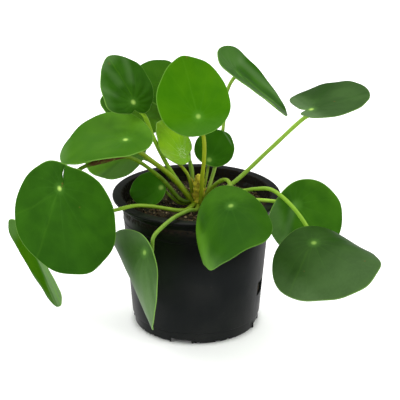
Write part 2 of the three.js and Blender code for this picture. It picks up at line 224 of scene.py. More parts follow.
# Blades: two sides that meet in a rounded rim, with rows at these distances from the edge. Waves are
# listed with height, number round the blade, and times of the leaf's phase.
BLADE_THICKNESS = 0.8
BLADE_COLUMNS = 108
BLADE_RINGS = 20
RING_CROWDING = 1.1
RIM_INSETS = (1.6, 1.0, 0.6, 0.35, 0.18, 0.06)
RIM_ROUNDING = 0.6
MARGIN_WOBBLE = 0.007
MARGIN_WAVES = ((1, 5, 1), (0.7, 9, 2))
WAVE_HEIGHT = 0.7
WAVE_NUMBER = 3
RIPPLE_HEIGHT = 0.22
RIPPLE_WAVES = ((1, 7, 1), (0.7, 11, -2))
NAVEL_RADIUS = 2.4
NAVEL_DEPTH = 0.3

# Veins fan out from the navel, with swells between them. They start between two distances from the
# navel, and the swells end between two shares of the way to the edge.
VEIN_SPACING = 32
VEIN_BEND = 0.2
VEIN_WIDTH = 0.55
VEIN_DEPTH = 0.05
VEIN_START = (1.5, 6)
VEIN_FADING = 0.8
SWELL_START = (2, 14)
SWELL_END = (0.75, 1)

# A slit is nearly shut at its ends and veers near the navel: shares of the way to the edge
SLIT_ENDS = (0.1, 0.94)
SLIT_VEER_END = 0.6
SLIT_LEAST_OPENING = math.radians(0.2)


@dataclass
class Leaf:
    """A leaf: a round blade on a stalk. Angles are in degrees.

    A turn or a heading on the flat blade is 0 towards the tip and 90 towards its left side.
    Distances along it and across it start at the navel, where the stalk joins it.
    """

    name: str

    # The navel's place, and its share of the blade's length, from the base edge. Turn holds the
    # heading of the tip (0 is +X, 90 is +Y), the tip's rise, and the roll that lifts the left side.
    # Size holds the length and the width.
    navel: tuple
    navel_at: float
    turn: tuple
    size: tuple

    # Droop bends the tip and the base down, and curl the left and the right side, each by so much
    # over the blade's whole length or width
    droop: tuple
    curl: tuple

    # The stalk leaves the stem at root, a turn about it and a height, and passes the stalk's points
    root: tuple
    stalk: tuple
    stalk_radius: float

    # Tone names the blade's colours, shade makes them darker or lighter, and gloss is its shine
    tone: str
    # Shade above 1 on blades lying under others is partly painted light that lifts their shade
    shade: float
    gloss: float

    # Offset shifts the middle line to the left, egg moves the widest place towards the base, and
    # point narrows the tip. Outline lists bumps of the margin: turn, half width and share of the
    # distance from the navel. A slit runs from the base edge to the navel: its turn from the base,
    # how far it veers at the navel, and its half opening. Folds is the height of the swells.
    offset: float = 0
    egg: float = 0.06
    point: float = 0.1
    outline: tuple = ()
    slit: tuple = None
    folds: float = 0.12

    # Neck is the straight end of the stalk under the blade, full its share of the plain thickness,
    # and swell how much thicker its foot is. A scab is a brown stretch, as two shares of the stalk.
    neck: float = 5
    full: float = 1
    swell: float = 0.08
    scab: tuple = None

    # Colours of the stalk and of its foot where they have their own, and the reach of the foot's
    stalk_skin: tuple = None
    stalk_root: tuple = None
    root_reach: float = 34

    # Patches fade in towards a heading: colour, heading, start, end and strength. Streaks run along one:
    # colour, heading, offset to its left, half width, start and strength. Besides tone they paint light: a
    # painted grey sheen and highlights, painted glow, and painted shade in valleys. Marks are brown spots
    # and glints are painted highlights: along, across, radius and strength.
    patches: tuple = ()
    streaks: tuple = ()
    marks: tuple = ()
    painted_glints: tuple = ()

    # How clear the navel's dot, the thin margin and the veins are, the skin's least roughness, and
    # the depth of its fine relief
    dot: float = 0.6
    margin: float = 0.4
    veining: float = 0.06
    roughness: float = 0.36
    pucker: float = 0.05

    @property
    def phase(self):
        """Where the waves of this leaf start, so that no two leaves are alike."""
        return self.navel[0]


LEAVES = (
    Leaf(
        "leaf_01", navel=(-92, -56, 122), navel_at=0.23, turn=(-65, -83, 58), size=(80, 78),
        egg=-0.06, point=0.02, droop=(6, 0), curl=(88, -25), slit=(-9.5, -24, 1.0),
        outline=((27, 13, 0.024), (-171, 13, 0.075), (164, 9, -0.05), (130, 12, 0.03)),
        root=(-157, 93), stalk_radius=1.35, swell=0.3, scab=(0.53, 0.78), stalk_skin=(92, 128, 6),
        stalk_root=(48, 74, 2), root_reach=62,
        stalk=(
            (-10, -6, 94), (-25, -11, 113), (-48, -23, 133), (-63, -31, 133), (-77, -37, 130.5),
            (-86, -45, 126),
        ),
        tone="deep", shade=0.79, gloss=0.06, dot=1.0,
        patches=(("deep", 0, 34, 56, 0.35),),
        streaks=(
            ("deep", 40, 0, 3.5, 6, 0.3), ("glow", -25, 0, 1.4, 4, 0.06), ("glow", -62, 2, 1.4, 4, 0.05),
        ),
        marks=((-3.6, 2.9, 1.1, 0.5), (-1.7, 2.3, 1.0, 0.5), (11.9, 14.8, 0.8, 0.35)),
    ),
    Leaf(
        "leaf_02", navel=(-120, -10, 59), navel_at=0.27, turn=(56, -68, -154), size=(74, 72),
        egg=0.07, point=0.04, droop=(5, 10), curl=(4, 0),
        root=(-133, 90.6), stalk_radius=1.3, swell=0.3, stalk_skin=(120, 156, 34),
        stalk=(
            (-7, -15, 90.5), (-12, -20, 92), (-32, -32, 100), (-43, -38, 102.5), (-56, -40, 100),
            (-80, -26, 89), (-100, -11, 74),
        ),
        tone="leafy", shade=0.42, gloss=0.0,
        patches=(("painted_sheen", 90, 9, 18, 0.65), ("painted_sheen", -130, 9, 19, 0.22), ("painted_sheen", -12, 36, 47, 0.2)),
        streaks=(("deep", 4, 13, 3, -20, 0.45), ("glow", 2, 26, 2.5, -20, 0.3)),
    ),
    Leaf(
        "leaf_03", navel=(-34.4, -71.7, 82.2), navel_at=0.12, turn=(152, -51, -62), size=(67, 72),
        offset=2.2, egg=-0.16, point=-0.08, droop=(74, 35), curl=(4, 0),
        root=(-93, 90.2), stalk_radius=1.3, stalk_skin=(100, 136, 40),
        stalk=(
            (0, -14, 90.5), (-4, -28, 95.6), (-8.5, -42, 99.4), (-15.5, -56, 100.9), (-22.5, -64, 97.9),
            (-28.5, -69.5, 92.5),
        ),
        tone="grey", shade=0.8, gloss=0.12, dot=0.4, margin=0.5,
        patches=(("painted_sheen", 50, 0, 42, 0.56), ("painted_sheen", -120, 2, 22, 0.45)),
        streaks=(("deep", 20, -6, 3, 4, 0.25), ("deep", 62, 4, 3, 8, 0.2)),
    ),
    Leaf(
        "leaf_04", navel=(-49, -22, 145), navel_at=0.26, turn=(176, -3, -13), size=(66, 62),
        offset=-1, egg=0.02, point=0.03, droop=(39, 23), curl=(-29, -39),
        outline=((180, 22, 0.12),),
        root=(-150, 91.5), stalk_radius=1.35, full=1.15, stalk_skin=(118, 144, 14),
        stalk=((-18, -9, 114), (-30, -14, 126), (-40, -18, 135)),
        tone="leafy", shade=0.62, gloss=0.06, dot=1.0,
        # The glow patch is painted light over the shadow that leaf_06 casts on this blade
        patches=(("painted_sheen", 0, 38, 52, 0.35), ("glow", -125, 8, 19, 0.5)),
        streaks=(("glow", -100, 7, 10, 9, 0.4),),
    ),
    Leaf(
        "leaf_05", navel=(-48, 2, 125), navel_at=0.26, turn=(154, -3, -30), size=(48, 46),
        egg=0.07, point=0.12, droop=(6, 9), curl=(14, 8),
        root=(165, 92.5), stalk_radius=1.2,
        stalk=((-27, 6, 115), (-38, 7, 121)),
        # Shade 1.4 is partly painted light, which lifts this blade in the shade of leaf_04
        tone="olive", shade=1.4, gloss=0.06,
        patches=(("painted_sheen", 130, 0, 10, 0.4),),
        streaks=(("deep", 60, 0, 3, 4, 0.3), ("deep", 20, 0, 2, 4, 0.2)),
    ),
    Leaf(
        "leaf_06", navel=(-44.4, -0.9, 165.4), navel_at=0.18, turn=(126, 55, 0), size=(47, 43),
        egg=0.13, point=0.1, droop=(21, -5), curl=(17, 18),
        outline=(
            (178, 7, -0.36), (-163, 13, 0.21), (-108, 22, -0.06), (-62, 16, 0.06), (75, 40, -0.07),
            (137, 20, 0.22),
        ),
        root=(178, 93), stalk_radius=1.3, full=1.15, stalk_skin=(136, 182, 30),
        stalk=((-17, 0, 112), (-25, 0, 127), (-31, 1, 140), (-38, 3, 156)),
        tone="deep", shade=0.74, gloss=0.05, folds=0.8, dot=0.9, margin=0.45,
        patches=(("painted_sheen", 30, 26, 34, 0.25), ("painted_sheen", 85, 13, 21, 0.14)),
        streaks=(
            ("painted_sheen", 16, 1, 4.5, 11, 0.17), ("painted_sheen", -12, -1, 5, 11, 0.19),
            ("painted_sheen", 52, 1, 4, 9, 0.17), ("glow", 9, -1, 0.8, 2, 0.12),
        ),
        marks=((31.5, 6.2, 1.4, 0.25),),
    ),
    Leaf(
        "leaf_07", navel=(-34, 34, 144.5), navel_at=0.27, turn=(142, 17, -2), size=(57, 54),
        egg=0.07, point=0.11, droop=(11, 15), curl=(16, 12),
        outline=((158, 14, 0.3),),
        root=(140, 93), stalk_radius=1.2,
        stalk=((-3, 8, 104), (-3.4, 12, 112), (-9, 20, 124), (-22, 29, 136)),
        # Shade 1.1 is partly painted light, which lifts this blade in the shade of leaf_06 and leaf_09
        tone="olive", shade=1.1, gloss=0.03, dot=0.0,
        patches=(("deep", 0, 2, 24, 0.75),),
        streaks=(("painted_sheen", 170, -2, 3, 8, 0.4),),
    ),
    Leaf(
        "leaf_08", navel=(-25, 37, 161), navel_at=0.27, turn=(80, 25, 28), size=(49, 46),
        egg=0.06, point=0.11, droop=(15, 15), curl=(16, 15),
        root=(110, 93), stalk_radius=1.2,
        stalk=((-5, 22, 113), (-6, 29, 121), (-9, 33, 137), (-17, 36, 151)),
        tone="fresh", shade=0.5, gloss=0.05, dot=0.3,
    ),
    Leaf(
        "leaf_09", navel=(1, -12, 159), navel_at=0.24, turn=(123, 60, -16), size=(57, 53),
        egg=0.12, point=0.15, droop=(-1, 5), curl=(13, 11),
        outline=((-50, 22, 0.03),),
        root=(-75, 91.5), stalk_radius=1.35, stalk_skin=(146, 162, 20),
        stalk=((4.1, -6, 113), (5.1, -7, 124), (4.7, -8, 143)),
        tone="fresh", shade=0.79, gloss=0.05, dot=0.6,
        patches=(("deep", 0, 20, 42, 0.14), ("painted_sheen", 180, -2, 12, 0.1)),
        streaks=(("glow", 0, 0, 1.0, 2, 0.06), ("glow", 18, 0, 0.9, 2, 0.05)),
        marks=((42, -3.1, 1.0, 0.6),),
    ),
    Leaf(
        "leaf_10", navel=(-10, 8, 122), navel_at=0.15, turn=(156, 62, -4), size=(36, 34),
        offset=-1, egg=0.02, point=0.08, droop=(27, 16), curl=(14, -10),
        outline=((98, 24, 0.2), (-118, 14, 0.08), (-142, 7, -0.4), (166, 14, 0.06)),
        root=(150, 93), stalk_radius=1.05, stalk_skin=(146, 168, 24),
        stalk=((-6, 5, 109),),
        tone="lime", shade=1.1, gloss=0.5, roughness=0.16, pucker=0.3, folds=0.1, veining=0.0, dot=0.2,
        patches=(("glow", 180, -16, -4, 0.4), ("deep", 0, 13, 28, 0.4)),
        painted_glints=((3, -1.5, 8, 0.7), (-3, -8, 5, 0.4)),
    ),
    Leaf(
        "leaf_11", navel=(8.9, 11.6, 118.5), navel_at=0.149, turn=(54, 41, 28), size=(31, 29),
        offset=0.8, egg=0.05, point=0.08, droop=(13, 14), curl=(12, 13),
        root=(60, 92.5), stalk_radius=0.9, stalk_skin=(126, 156, 34),
        stalk=((7, 8, 107),),
        tone="deep", shade=0.85, gloss=0.04, roughness=0.32, dot=0.5,
        streaks=(("painted_sheen", 51, -19.3, 1.1, 2, 0.6),),
    ),
    Leaf(
        "leaf_12", navel=(29.4, 33, 176.2), navel_at=0.28, turn=(21, -42, 13), size=(71, 68),
        offset=1, egg=0.15, point=0.2, droop=(-5, 38), curl=(-51, -32),
        root=(20, 92), stalk_radius=1.25, stalk_skin=(148, 184, 66),
        stalk=((12, 18, 106), (15, 26, 115), (19, 35, 135), (21, 36, 160)),
        tone="mid", shade=0.64, gloss=0.02, dot=0.0,
        patches=(("painted_sheen", 150, 2, 8, 0.18), ("painted_sheen", -60, 11, 18, 0.12)),
        streaks=(
            # The deep streak is painted shade in the valley along the middle line
            ("deep", -8, 9, 7, -2, 0.55), ("painted_sheen", -11, 24, 9, -4, 0.3), ("glow", -3, 2, 1.6, 4, 0.3),
        ),
    ),
    Leaf(
        "leaf_13", navel=(80.7, 11.9, 156.6), navel_at=0.182, turn=(40, 13, -2), size=(61, 59),
        offset=2.2, egg=0.05, point=0.04, droop=(6, -2), curl=(11, 0), slit=(-10, 0, 0.8),
        outline=(
            (165, 10, -0.68), (146, 13, -0.42), (132, 9, -0.12), (-172, 14, -0.2), (-104, 32, 0.13),
            (60, 22, 0.04),
        ),
        root=(13, 90.5), stalk_radius=1.3, neck=2.5, full=1.15, stalk_skin=(136, 176, 56),
        stalk=((26, 6, 103), (52, 11, 127), (76, 13, 150)),
        tone="grey", shade=0.68, gloss=0.06, dot=1.0, margin=0.25,
        patches=(("painted_sheen", -75, -12, 14, 0.1), ("painted_sheen", 160, -8, 6, 0.5)),
        streaks=(
            ("deep", 25, 0, 2.5, 5, 0.25), ("deep", -20, 0, 2.5, 5, 0.2), ("deep", 70, 0, 2, 5, 0.2),
        ),
        marks=((17.2, -6, 0.9, 0.6),),
    ),
    Leaf(
        "leaf_14", navel=(-25, -7.8, 104.6), navel_at=0.123, turn=(165, -12, -58), size=(28, 26),
        droop=(15, 15), curl=(15, 15),
        root=(-172, 89.8), stalk_radius=1,
        stalk=((-12, -3, 91), (-19, -6, 98)),
        tone="deep", shade=1.3, gloss=0.06, dot=0.9,
    ),
    Leaf(
        "leaf_15", navel=(23.2, -72.7, 116.7), navel_at=0.321, turn=(-77, -19, 15), size=(67, 63),
        offset=-7, egg=-0.05, point=-0.07, droop=(0, 0), curl=(105, 130),
        outline=((-148, 26, -0.03), (-95, 22, 0.17), (-45, 22, 0.015)),
        root=(-55, 92.4), stalk_radius=1.3, swell=0.25, stalk_skin=(98, 128, 20),
        stalk=(
            (11, -12, 106), (15, -17, 112), (20, -24, 117), (23, -34, 117.5), (23, -46, 111),
            (22, -60, 108.5),
        ),
        tone="mid", shade=0.55, gloss=0.06, dot=0.5, margin=0.2,
        patches=(("glow", -90, 22, 34, 0.48), ("painted_sheen", -50, 32, 50, 0.22), ("glow", 170, 0, 14, 0.12)),
        streaks=(("deep", -8, -2, 15, -2, 0.5),),
    ),
    Leaf(
        "leaf_16", navel=(70, -28, 100), navel_at=0.26, turn=(6, -52, 64), size=(58, 54),
        offset=-1, egg=0.1, point=-0.08, droop=(0, 0), curl=(-6, 88),
        outline=((66, 20, 0.045),),
        root=(-22, 91), stalk_radius=1.2, full=1.15, swell=0.2, stalk_skin=(176, 222, 76),
        stalk=((24, -10, 96), (42, -18, 99.6), (53, -21, 100), (61, -20, 98.2)),
        tone="mid", shade=0.66, gloss=0.08, dot=0.0,
        patches=(("painted_sheen", -118, 9, 17, 0.24), ("glow", 110, 12, 22, 0.15)),
        streaks=(("deep", -32, -7, 4.5, -14, 0.6), ("painted_sheen", -50, -3, 4.5, -4, 0.2)),
    ),
    Leaf(
        "leaf_17", navel=(79.3, -72, 90), navel_at=0.26, turn=(-46, -11, 19), size=(75, 75),
        offset=-5, egg=0.1, point=0.13, droop=(-8, 34), curl=(126, 53),
        root=(-8, 95), stalk_radius=1.35, swell=0.2, stalk_skin=(116, 160, 36),
        stalk=(
            (31, -14, 104.5), (42, -22, 109.5), (52, -30, 112), (65, -41, 105), (76, -49, 92),
            (80, -59, 83),
        ),
        tone="grey", shade=0.6, gloss=0.05, dot=0.5,
        patches=(("painted_sheen", 0, 0, 40, 0.2), ("painted_sheen", -95, 22, 36, 0.2)),
        streaks=(("deep", 60, 0, 6, 8, 0.3), ("glow", -70, 0, 1.4, 4, 0.06)),
        marks=((38, 9.1, 0.9, 0.4), (12, -22, 0.7, 0.3)),
    ),
)


def srgb(red, green, blue):
    """A colour given in the 0 to 255 of a screen, as linear light."""
    return tuple(
        value / 12.92 if value <= 0.04045 else ((value + 0.055) / 1.055) ** 2.4
        for value in (red / 255, green / 255, blue / 255)
    )


def rgba(colour):
    """A colour with the fourth number that a socket wants."""
    return (*tuple(colour)[:3], 1.0)


# Colours of a blade's upper side, dark and light, for each tone, and the tint of its gloss
TONES = {
    "deep": (srgb(38, 84, 8), srgb(52, 104, 12)),
    "mid": (srgb(46, 98, 8), srgb(62, 118, 12)),
    "fresh": (srgb(56, 116, 2), srgb(72, 130, 4)),
    "leafy": (srgb(64, 122, 10), srgb(78, 134, 16)),
    "olive": (srgb(62, 104, 10), srgb(76, 120, 20)),
    "grey": (srgb(46, 82, 26), srgb(62, 100, 38)),
    "lime": (srgb(106, 156, 12), srgb(142, 186, 30)),
}
YOUNG_TONE = "lime"
BLADE_SHEEN = (0.8, 1.0, 0.62)


class Value:
    """A number in a finish's nodes. Python's operators on it add Math nodes."""

    def __init__(self, finish, socket):
        self.finish = finish
        self.socket = socket

    def maths(self, operation, *numbers):
        node = self.finish.add("ShaderNodeMath", {"operation": operation}, dict(enumerate(numbers)))
        return Value(self.finish, node.outputs[0])

    def __add__(self, other):
        return self.maths("ADD", self, other)

    __radd__ = __add__

    def __sub__(self, other):
        return self.maths("SUBTRACT", self, other)

    def __rsub__(self, other):
        return self.maths("SUBTRACT", other, self)

    def __mul__(self, other):
        return self.maths("MULTIPLY", self, other)

    __rmul__ = __mul__

    def __truediv__(self, other):
        return self.maths("DIVIDE", self, other)

    def __rtruediv__(self, other):
        return self.maths("DIVIDE", other, self)

    def __pow__(self, other):
        return self.maths("POWER", self, other)

    def __abs__(self):
        return self.maths("ABSOLUTE", self)

    def ramp(self, low, high):
        """0 at low and 1 at high, with a smooth rise between. Low may be the larger."""
        sockets = {"Value": self, "From Min": low, "From Max": high}
        node = self.finish.add("ShaderNodeMapRange", {"interpolation_type": "SMOOTHSTEP"}, sockets)
        return Value(self.finish, node.outputs["Result"])


class Finish:
    """The nodes of a material or of the room, and the few ways that they are made."""

    def __init__(self, owner):
        self.owner = owner
        owner.use_nodes = True
        self.tree = owner.node_tree
        self.tree.nodes.clear()

    def add(self, kind, settings, sockets):
        """A node: its settings first, then the values or links of its sockets, by name or place."""
        node = self.tree.nodes.new(kind)
        for name, setting in settings.items():
            setattr(node, name, setting)
        for name, given in sockets.items():
            given = given.socket if isinstance(given, Value) else given
            if isinstance(given, bpy.types.NodeSocket):
                self.tree.links.new(given, node.inputs[name])
            else:
                node.inputs[name].default_value = given
        return node

    def place(self):
        """The point on the piece, in metres."""
        return self.add("ShaderNodeTexCoord", {}, {}).outputs["Object"]

    def split(self, vector):
        """The three numbers of a vector."""
        parts = self.add("ShaderNodeSeparateXYZ", {}, {"Vector": vector}).outputs
        return [Value(self, part) for part in parts]

    def attribute(self, name):
        """The three numbers that a piece keeps at each of its points under a name."""
        kept = self.add("ShaderNodeAttribute", {"attribute_name": name}, {})
        return self.split(kept.outputs["Vector"])

    def noise(self, size, detail=2.0, stretch=(1, 1, 1)):
        """Soft random patches of a size in millimetres, from 0 to 1."""
        scaled = self.add("ShaderNodeVectorMath", {"operation": "MULTIPLY"}, {0: self.place(), 1: stretch})
        sockets = {"Vector": scaled.outputs[0], "Scale": 1 / (size * MM), "Detail": detail}
        return Value(self, self.add("ShaderNodeTexNoise", {}, sockets).outputs["Fac"])

    def mix(self, share, first, second):
        """A colour between two, by a share from 0 to 1. Each is a colour or a socket."""
        given = [
            colour if isinstance(colour, bpy.types.NodeSocket) else rgba(colour)
            for colour in (first, second)
        ]
        sockets = dict(zip((0, 6, 7), (share, *given)))
        return self.add("ShaderNodeMix", {"data_type": "RGBA"}, sockets).outputs[2]

    def surface(self, colour, roughness, height, depth, shine, fixed=None):
        """The surface: a colour, a roughness and a relief of a depth in millimetres.

        Shine and the other fixed values are the same all over.
        """
        bump = self.add("ShaderNodeBump", {}, {"Height": height, "Distance": depth * MM, "Strength": 1.0})
        sockets = {
            "Base Color": colour,
            "Roughness": roughness,
            "Normal": bump.outputs["Normal"],
            "Specular IOR Level": shine,
            **(fixed or {}),
        }
        shader = self.add("ShaderNodeBsdfPrincipled", {}, sockets)
        self.add("ShaderNodeOutputMaterial", {}, {"Surface": shader.outputs["BSDF"]})
        return self.owner


def colour_setting(name, description, default):
    """A colour in the sidebar, whose default is given in the 0 to 255 of a screen."""
    return FloatVectorProperty(name=name, description=description, subtype="COLOR", default=srgb(*default))


def strength_setting(name, description, default):
    """A strength in the sidebar, which is never below 0."""
    return FloatProperty(name=name, description=description, min=0, default=default)


class PotSettings(bpy.types.PropertyGroup):
    # The plastic's two colours paint light: lighter low down as a painted floor reflection, darker higher
    # up as painted shade under the leaves
    colour: colour_setting("Plastic", "Colour of the pot's moulded plastic, low down", (27, 30, 31))
    clean: colour_setting("Clean plastic", "Colour of the pot higher up", (9, 11, 10))
    dust: colour_setting("Dust", "Colour of the dust on the pot", (74, 74, 68))
    smear: colour_setting("Smear", "Colour of the soil smeared inside the rim", (36, 27, 17))
    shine: strength_setting("Shine", "Strength of the plastic's reflections", 0.27)


class SoilSettings(bpy.types.PropertyGroup):
    dark: colour_setting("Dark soil", "Colour of wet compost", (27, 22, 13))
    brown: colour_setting("Brown soil", "Colour of drier crumbs", (102, 83, 52))
    pale: colour_setting("Specks", "Colour of the pale specks and fibres", (176, 154, 116))
    crumbs: IntProperty(name="Crumbs", description="Number of loose crumbs", min=0, default=520)
    fibres: IntProperty(name="Fibres", description="Number of loose fibres", min=0, default=46)
    crumb_size: FloatProperty(
        name="Crumb size", description="Radius of a large crumb", unit="LENGTH", default=1.5 * MM
    )


class StemSettings(bpy.types.PropertyGroup):
    skin: colour_setting("Skin", "Colour of the stem's upper skin", (194, 186, 42))
    bark: colour_setting("Bark", "Colour of the stem low down", (168, 162, 18))
    scar: colour_setting("Scars", "Colour of the stem's scars", (98, 66, 18))
    scale: colour_setting("Scales", "Colour of the dry scales", (186, 168, 66))
    scale_edge: colour_setting("Scale edges", "Colour of the scales' thin edges", (176, 156, 84))


class StalkSettings(bpy.types.PropertyGroup):
    skin: colour_setting("Skin", "Colour of a stalk", (116, 158, 36))
    root: colour_setting("Foot", "Colour of a stalk near the stem", (104, 122, 14))
    # This pale colour is the stalks' streaks and also a painted highlight on their upper sides
    pale: colour_setting("Upper side", "Colour of a stalk's paler upper side", (166, 200, 72))
    top: colour_setting("Top", "Colour of a stalk where it joins its blade", (150, 190, 80))
    scab: colour_setting("Scab", "Colour of a healed wound", (86, 52, 22))


class BladeSettings(bpy.types.PropertyGroup):
    under: colour_setting("Underside", "Colour of a blade's lower side", (104, 148, 66))
    margin: colour_setting("Margin", "Colour of a blade's thin edge", (128, 172, 74))
    navel: colour_setting("Navel", "Colour of the dot over the stalk", (160, 196, 92))
    vein: colour_setting("Veins", "Colour of a blade's veins", (92, 146, 52))
    # A painted grey sheen and painted highlights, which stand in for reflections of the light
    painted_sheen: colour_setting("Bloom", "Colour of the waxy grey bloom", (104, 132, 88))
    # Painted shade in valleys and creases, which also darkens parts of some blades
    deep: colour_setting("Valleys", "Colour of the dark valleys", (28, 70, 6))
    # Painted light: lighter where light would come through thin places, and where it lifts a shadow
    glow: colour_setting("Glow", "Colour of thin places that light comes through", (98, 152, 34))
    # Painted highlights: pale glints on a young blade
    painted_glint: colour_setting("Glints", "Colour of wet glints on a young blade", (226, 240, 190))
    mark: colour_setting("Marks", "Colour of brown marks", (104, 74, 36))


class StageSettings(bpy.types.PropertyGroup):
    floor: FloatVectorProperty(
        name="Floor", description="Colour of the floor", subtype="COLOR", default=(0.94, 0.94, 0.94)
    )
    grain: FloatVectorProperty(
        name="Grain", description="Colour of the floor's grain", subtype="COLOR", default=(0.8, 0.8, 0.8)
    )
    floor_size: FloatProperty(
        name="Floor size", description="Side of the floor", unit="LENGTH", default=9.0
    )
    floor_glow: strength_setting("Floor glow", "Strength of the light that comes through the floor", 0.28)
    air: strength_setting("Room light", "Strength of the light from all round", 0.92)
    sweep: strength_setting("White sweep", "Strength of the white sweep behind, as gloss shows it", 1.15)
    sheen: strength_setting("Room in gloss", "Strength of the room as gloss shows it", 0.05)


def turned(leaf, points):
    """Points about the navel, turned as the leaf's blade is."""
    heading, pitch, roll = (math.radians(angle) for angle in leaf.turn)
    level = Matrix.Rotation(heading, 3, "Z")
    turn = level @ Matrix.Rotation(-pitch, 3, "Y") @ Matrix.Rotation(roll, 3, "X")
    return np.asarray(points) @ np.array(turn).T


def in_world(leaf, points):
    """Points beside a leaf's navel, in the plant's frame."""
    return turned(leaf, points) + np.array(leaf.navel, float)


def new_mesh(name, points, faces):
    """A mesh from points in millimetres and faces, all of which come to point outwards."""
    mesh = bpy.data.meshes.new(name)
    mesh.from_pydata((np.asarray(points, float) * MM).tolist(), [], faces)
    work = bmesh.new()
    work.from_mesh(mesh)
    bmesh.ops.recalc_face_normals(work, faces=work.faces)
    work.to_mesh(mesh)
    work.free()
    return mesh


def make_piece(name, points, faces, material, slot, nodes=(), attributes=None):
    """A piece with its kept numbers. With a slot it rides on the plant, and it stands for CAD nodes."""
    mesh = new_mesh(name, points, faces)
    for key, values in (attributes or {}).items():
        layer = mesh.attributes.new(key, "FLOAT_VECTOR", "POINT")
        layer.data.foreach_set("vector", np.asarray(values, np.float32).ravel())
    mesh.shade_smooth()
    mesh.materials.append(material)
    piece = bpy.data.objects.new(name, mesh)
    bpy.context.scene.collection.objects.link(piece)
    if slot:
        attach(piece, "root")
    if nodes:
        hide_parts(*nodes)
    return piece


def cut(piece, shapes, operation):
    """Joins closed shapes to a piece, or cuts them out of it."""
    for points, faces in shapes:
        tool = bpy.data.objects.new("tool", new_mesh("tool", points, faces))
        bpy.context.scene.collection.objects.link(tool)
        modifier = piece.modifiers.new("shape", "BOOLEAN")
        modifier.operation = operation
        modifier.solver = "EXACT"
        modifier.object = tool
        seen = piece.evaluated_get(bpy.context.evaluated_depsgraph_get())
        cut_mesh = bpy.data.meshes.new_from_object(seen)
        piece.modifiers.clear()
        piece.data = cut_mesh
        bpy.data.objects.remove(tool)


def net(rows, width, closed=True):
    """Quads between rows of the same width, each row joined to the next."""
    faces = []
    columns = width if closed else width - 1
    for row in range(rows - 1):
        for column in range(columns):
            after = (column + 1) % width
            here = row * width
            faces.append((here + column, here + after, here + width + after, here + width + column))
    return faces


def lathe(profile, segments):
    """A profile of (radius, height) pairs turned about Z. Its first and last pairs close it."""
    turns = np.linspace(0, FULL_TURN, segments, endpoint=False)
    ring = np.stack([np.cos(turns), np.sin(turns)], axis=1)
    points = [np.column_stack([ring * radius, np.full(segments, height)]) for radius, height in profile]
    last = (len(profile) - 1) * segments
    ends = [tuple(start + i for i in range(segments)) for start in (0, last)]
    return np.concatenate(points), net(len(profile), segments) + ends


def arc(radius, height, rounding, start, end, steps=5):
    """Points of a corner of a profile, about its centre."""
    turns = [math.radians(start + (end - start) * i / steps) for i in range(steps + 1)]
    return [(radius + rounding * math.cos(t), height + rounding * math.sin(t)) for t in turns]


def radial_box(turn, inner, outer, width, bottom, top):
    """A box that points outwards along a turn about Z, from one radius to another."""
    corners = [(x, y, z) for x in (inner, outer) for y in (-width / 2, width / 2) for z in (bottom, top)]
    spin = np.array(Matrix.Rotation(math.radians(turn), 3, "Z"))
    faces = [(0, 1, 3, 2), (4, 6, 7, 5), (0, 4, 5, 1), (2, 3, 7, 6), (0, 2, 6, 4), (1, 5, 7, 3)]
    return np.array(corners) @ spin.T, faces


def curve_points(anchors, step):
    """Evenly spaced points of the smooth curve through the anchors, and their distances along it."""
    anchors = [np.array(anchor, float) for anchor in anchors]
    ends = [2 * anchors[0] - anchors[1], *anchors, 2 * anchors[-1] - anchors[-2]]
    fine = []
    for p0, p1, p2, p3 in zip(ends, ends[1:], ends[2:], ends[3:]):
        d0, d1, d2 = (np.linalg.norm(b - a) ** 0.5 for a, b in ((p0, p1), (p1, p2), (p2, p3)))
        t1 = ((p1 - p0) / d0 - (p2 - p0) / (d0 + d1) + (p2 - p1) / d1) * d1
        t2 = ((p2 - p1) / d1 - (p3 - p1) / (d1 + d2) + (p3 - p2) / d2) * d1
        for share in np.linspace(0, 1, CURVE_STEPS, endpoint=False):
            cubic = 2 * p1 - 2 * p2 + t1 + t2
            square = -3 * p1 + 3 * p2 - 2 * t1 - t2
            fine.append(p1 + t1 * share + square * share**2 + cubic * share**3)
    fine = np.array([*fine, anchors[-1]])
    run = np.concatenate([[0], np.cumsum(np.linalg.norm(np.diff(fine, axis=0), axis=1))])
    even = np.linspace(0, run[-1], max(2, round(run[-1] / step)) + 1)
    return np.stack([np.interp(even, run, fine[:, axis]) for axis in range(3)], axis=1), even


def tube(path, radii, sides):
    """A closed tube along a path, with a radius at each point, or for each side of each point."""
    tangents = np.gradient(path, axis=0)
    tangents /= np.linalg.norm(tangents, axis=1, keepdims=True)
    across = np.cross(tangents[0], [0, 0, 1])
    if np.linalg.norm(across) < 0.1:
        across = np.cross(tangents[0], [0, 1, 0])
    turns = np.linspace(0, FULL_TURN, sides, endpoint=False)
    points = []
    for place, tangent, radius in zip(path, tangents, radii):
        across = across - tangent * (across @ tangent)
        across /= np.linalg.norm(across)
        other = np.cross(tangent, across)
        ring = np.outer(np.cos(turns), across) + np.outer(np.sin(turns), other)
        points.append(place + ring * np.reshape(radius, (-1, 1)))
    last = (len(path) - 1) * sides
    ends = [tuple(start + i for i in range(sides)) for start in (0, last)]
    return np.concatenate(points), net(len(path), sides) + ends


def smooth(number, low, high):
    """0 at low and 1 at high, with a smooth rise between."""
    share = np.clip((np.asarray(number, float) - low) / (high - low), 0, 1)
    return share * share * (3 - 2 * share)


def wall_radius(height):
    """Outer radius of the pot's tapered wall."""
    return FOOT_RADIUS + (WALL_TOP_RADIUS - FOOT_RADIUS) * height / COLLAR_BOTTOM


def soil_radius(height):
    """Radius of the soil beside the pot's wall."""
    return wall_radius(height) - WALL - GAP


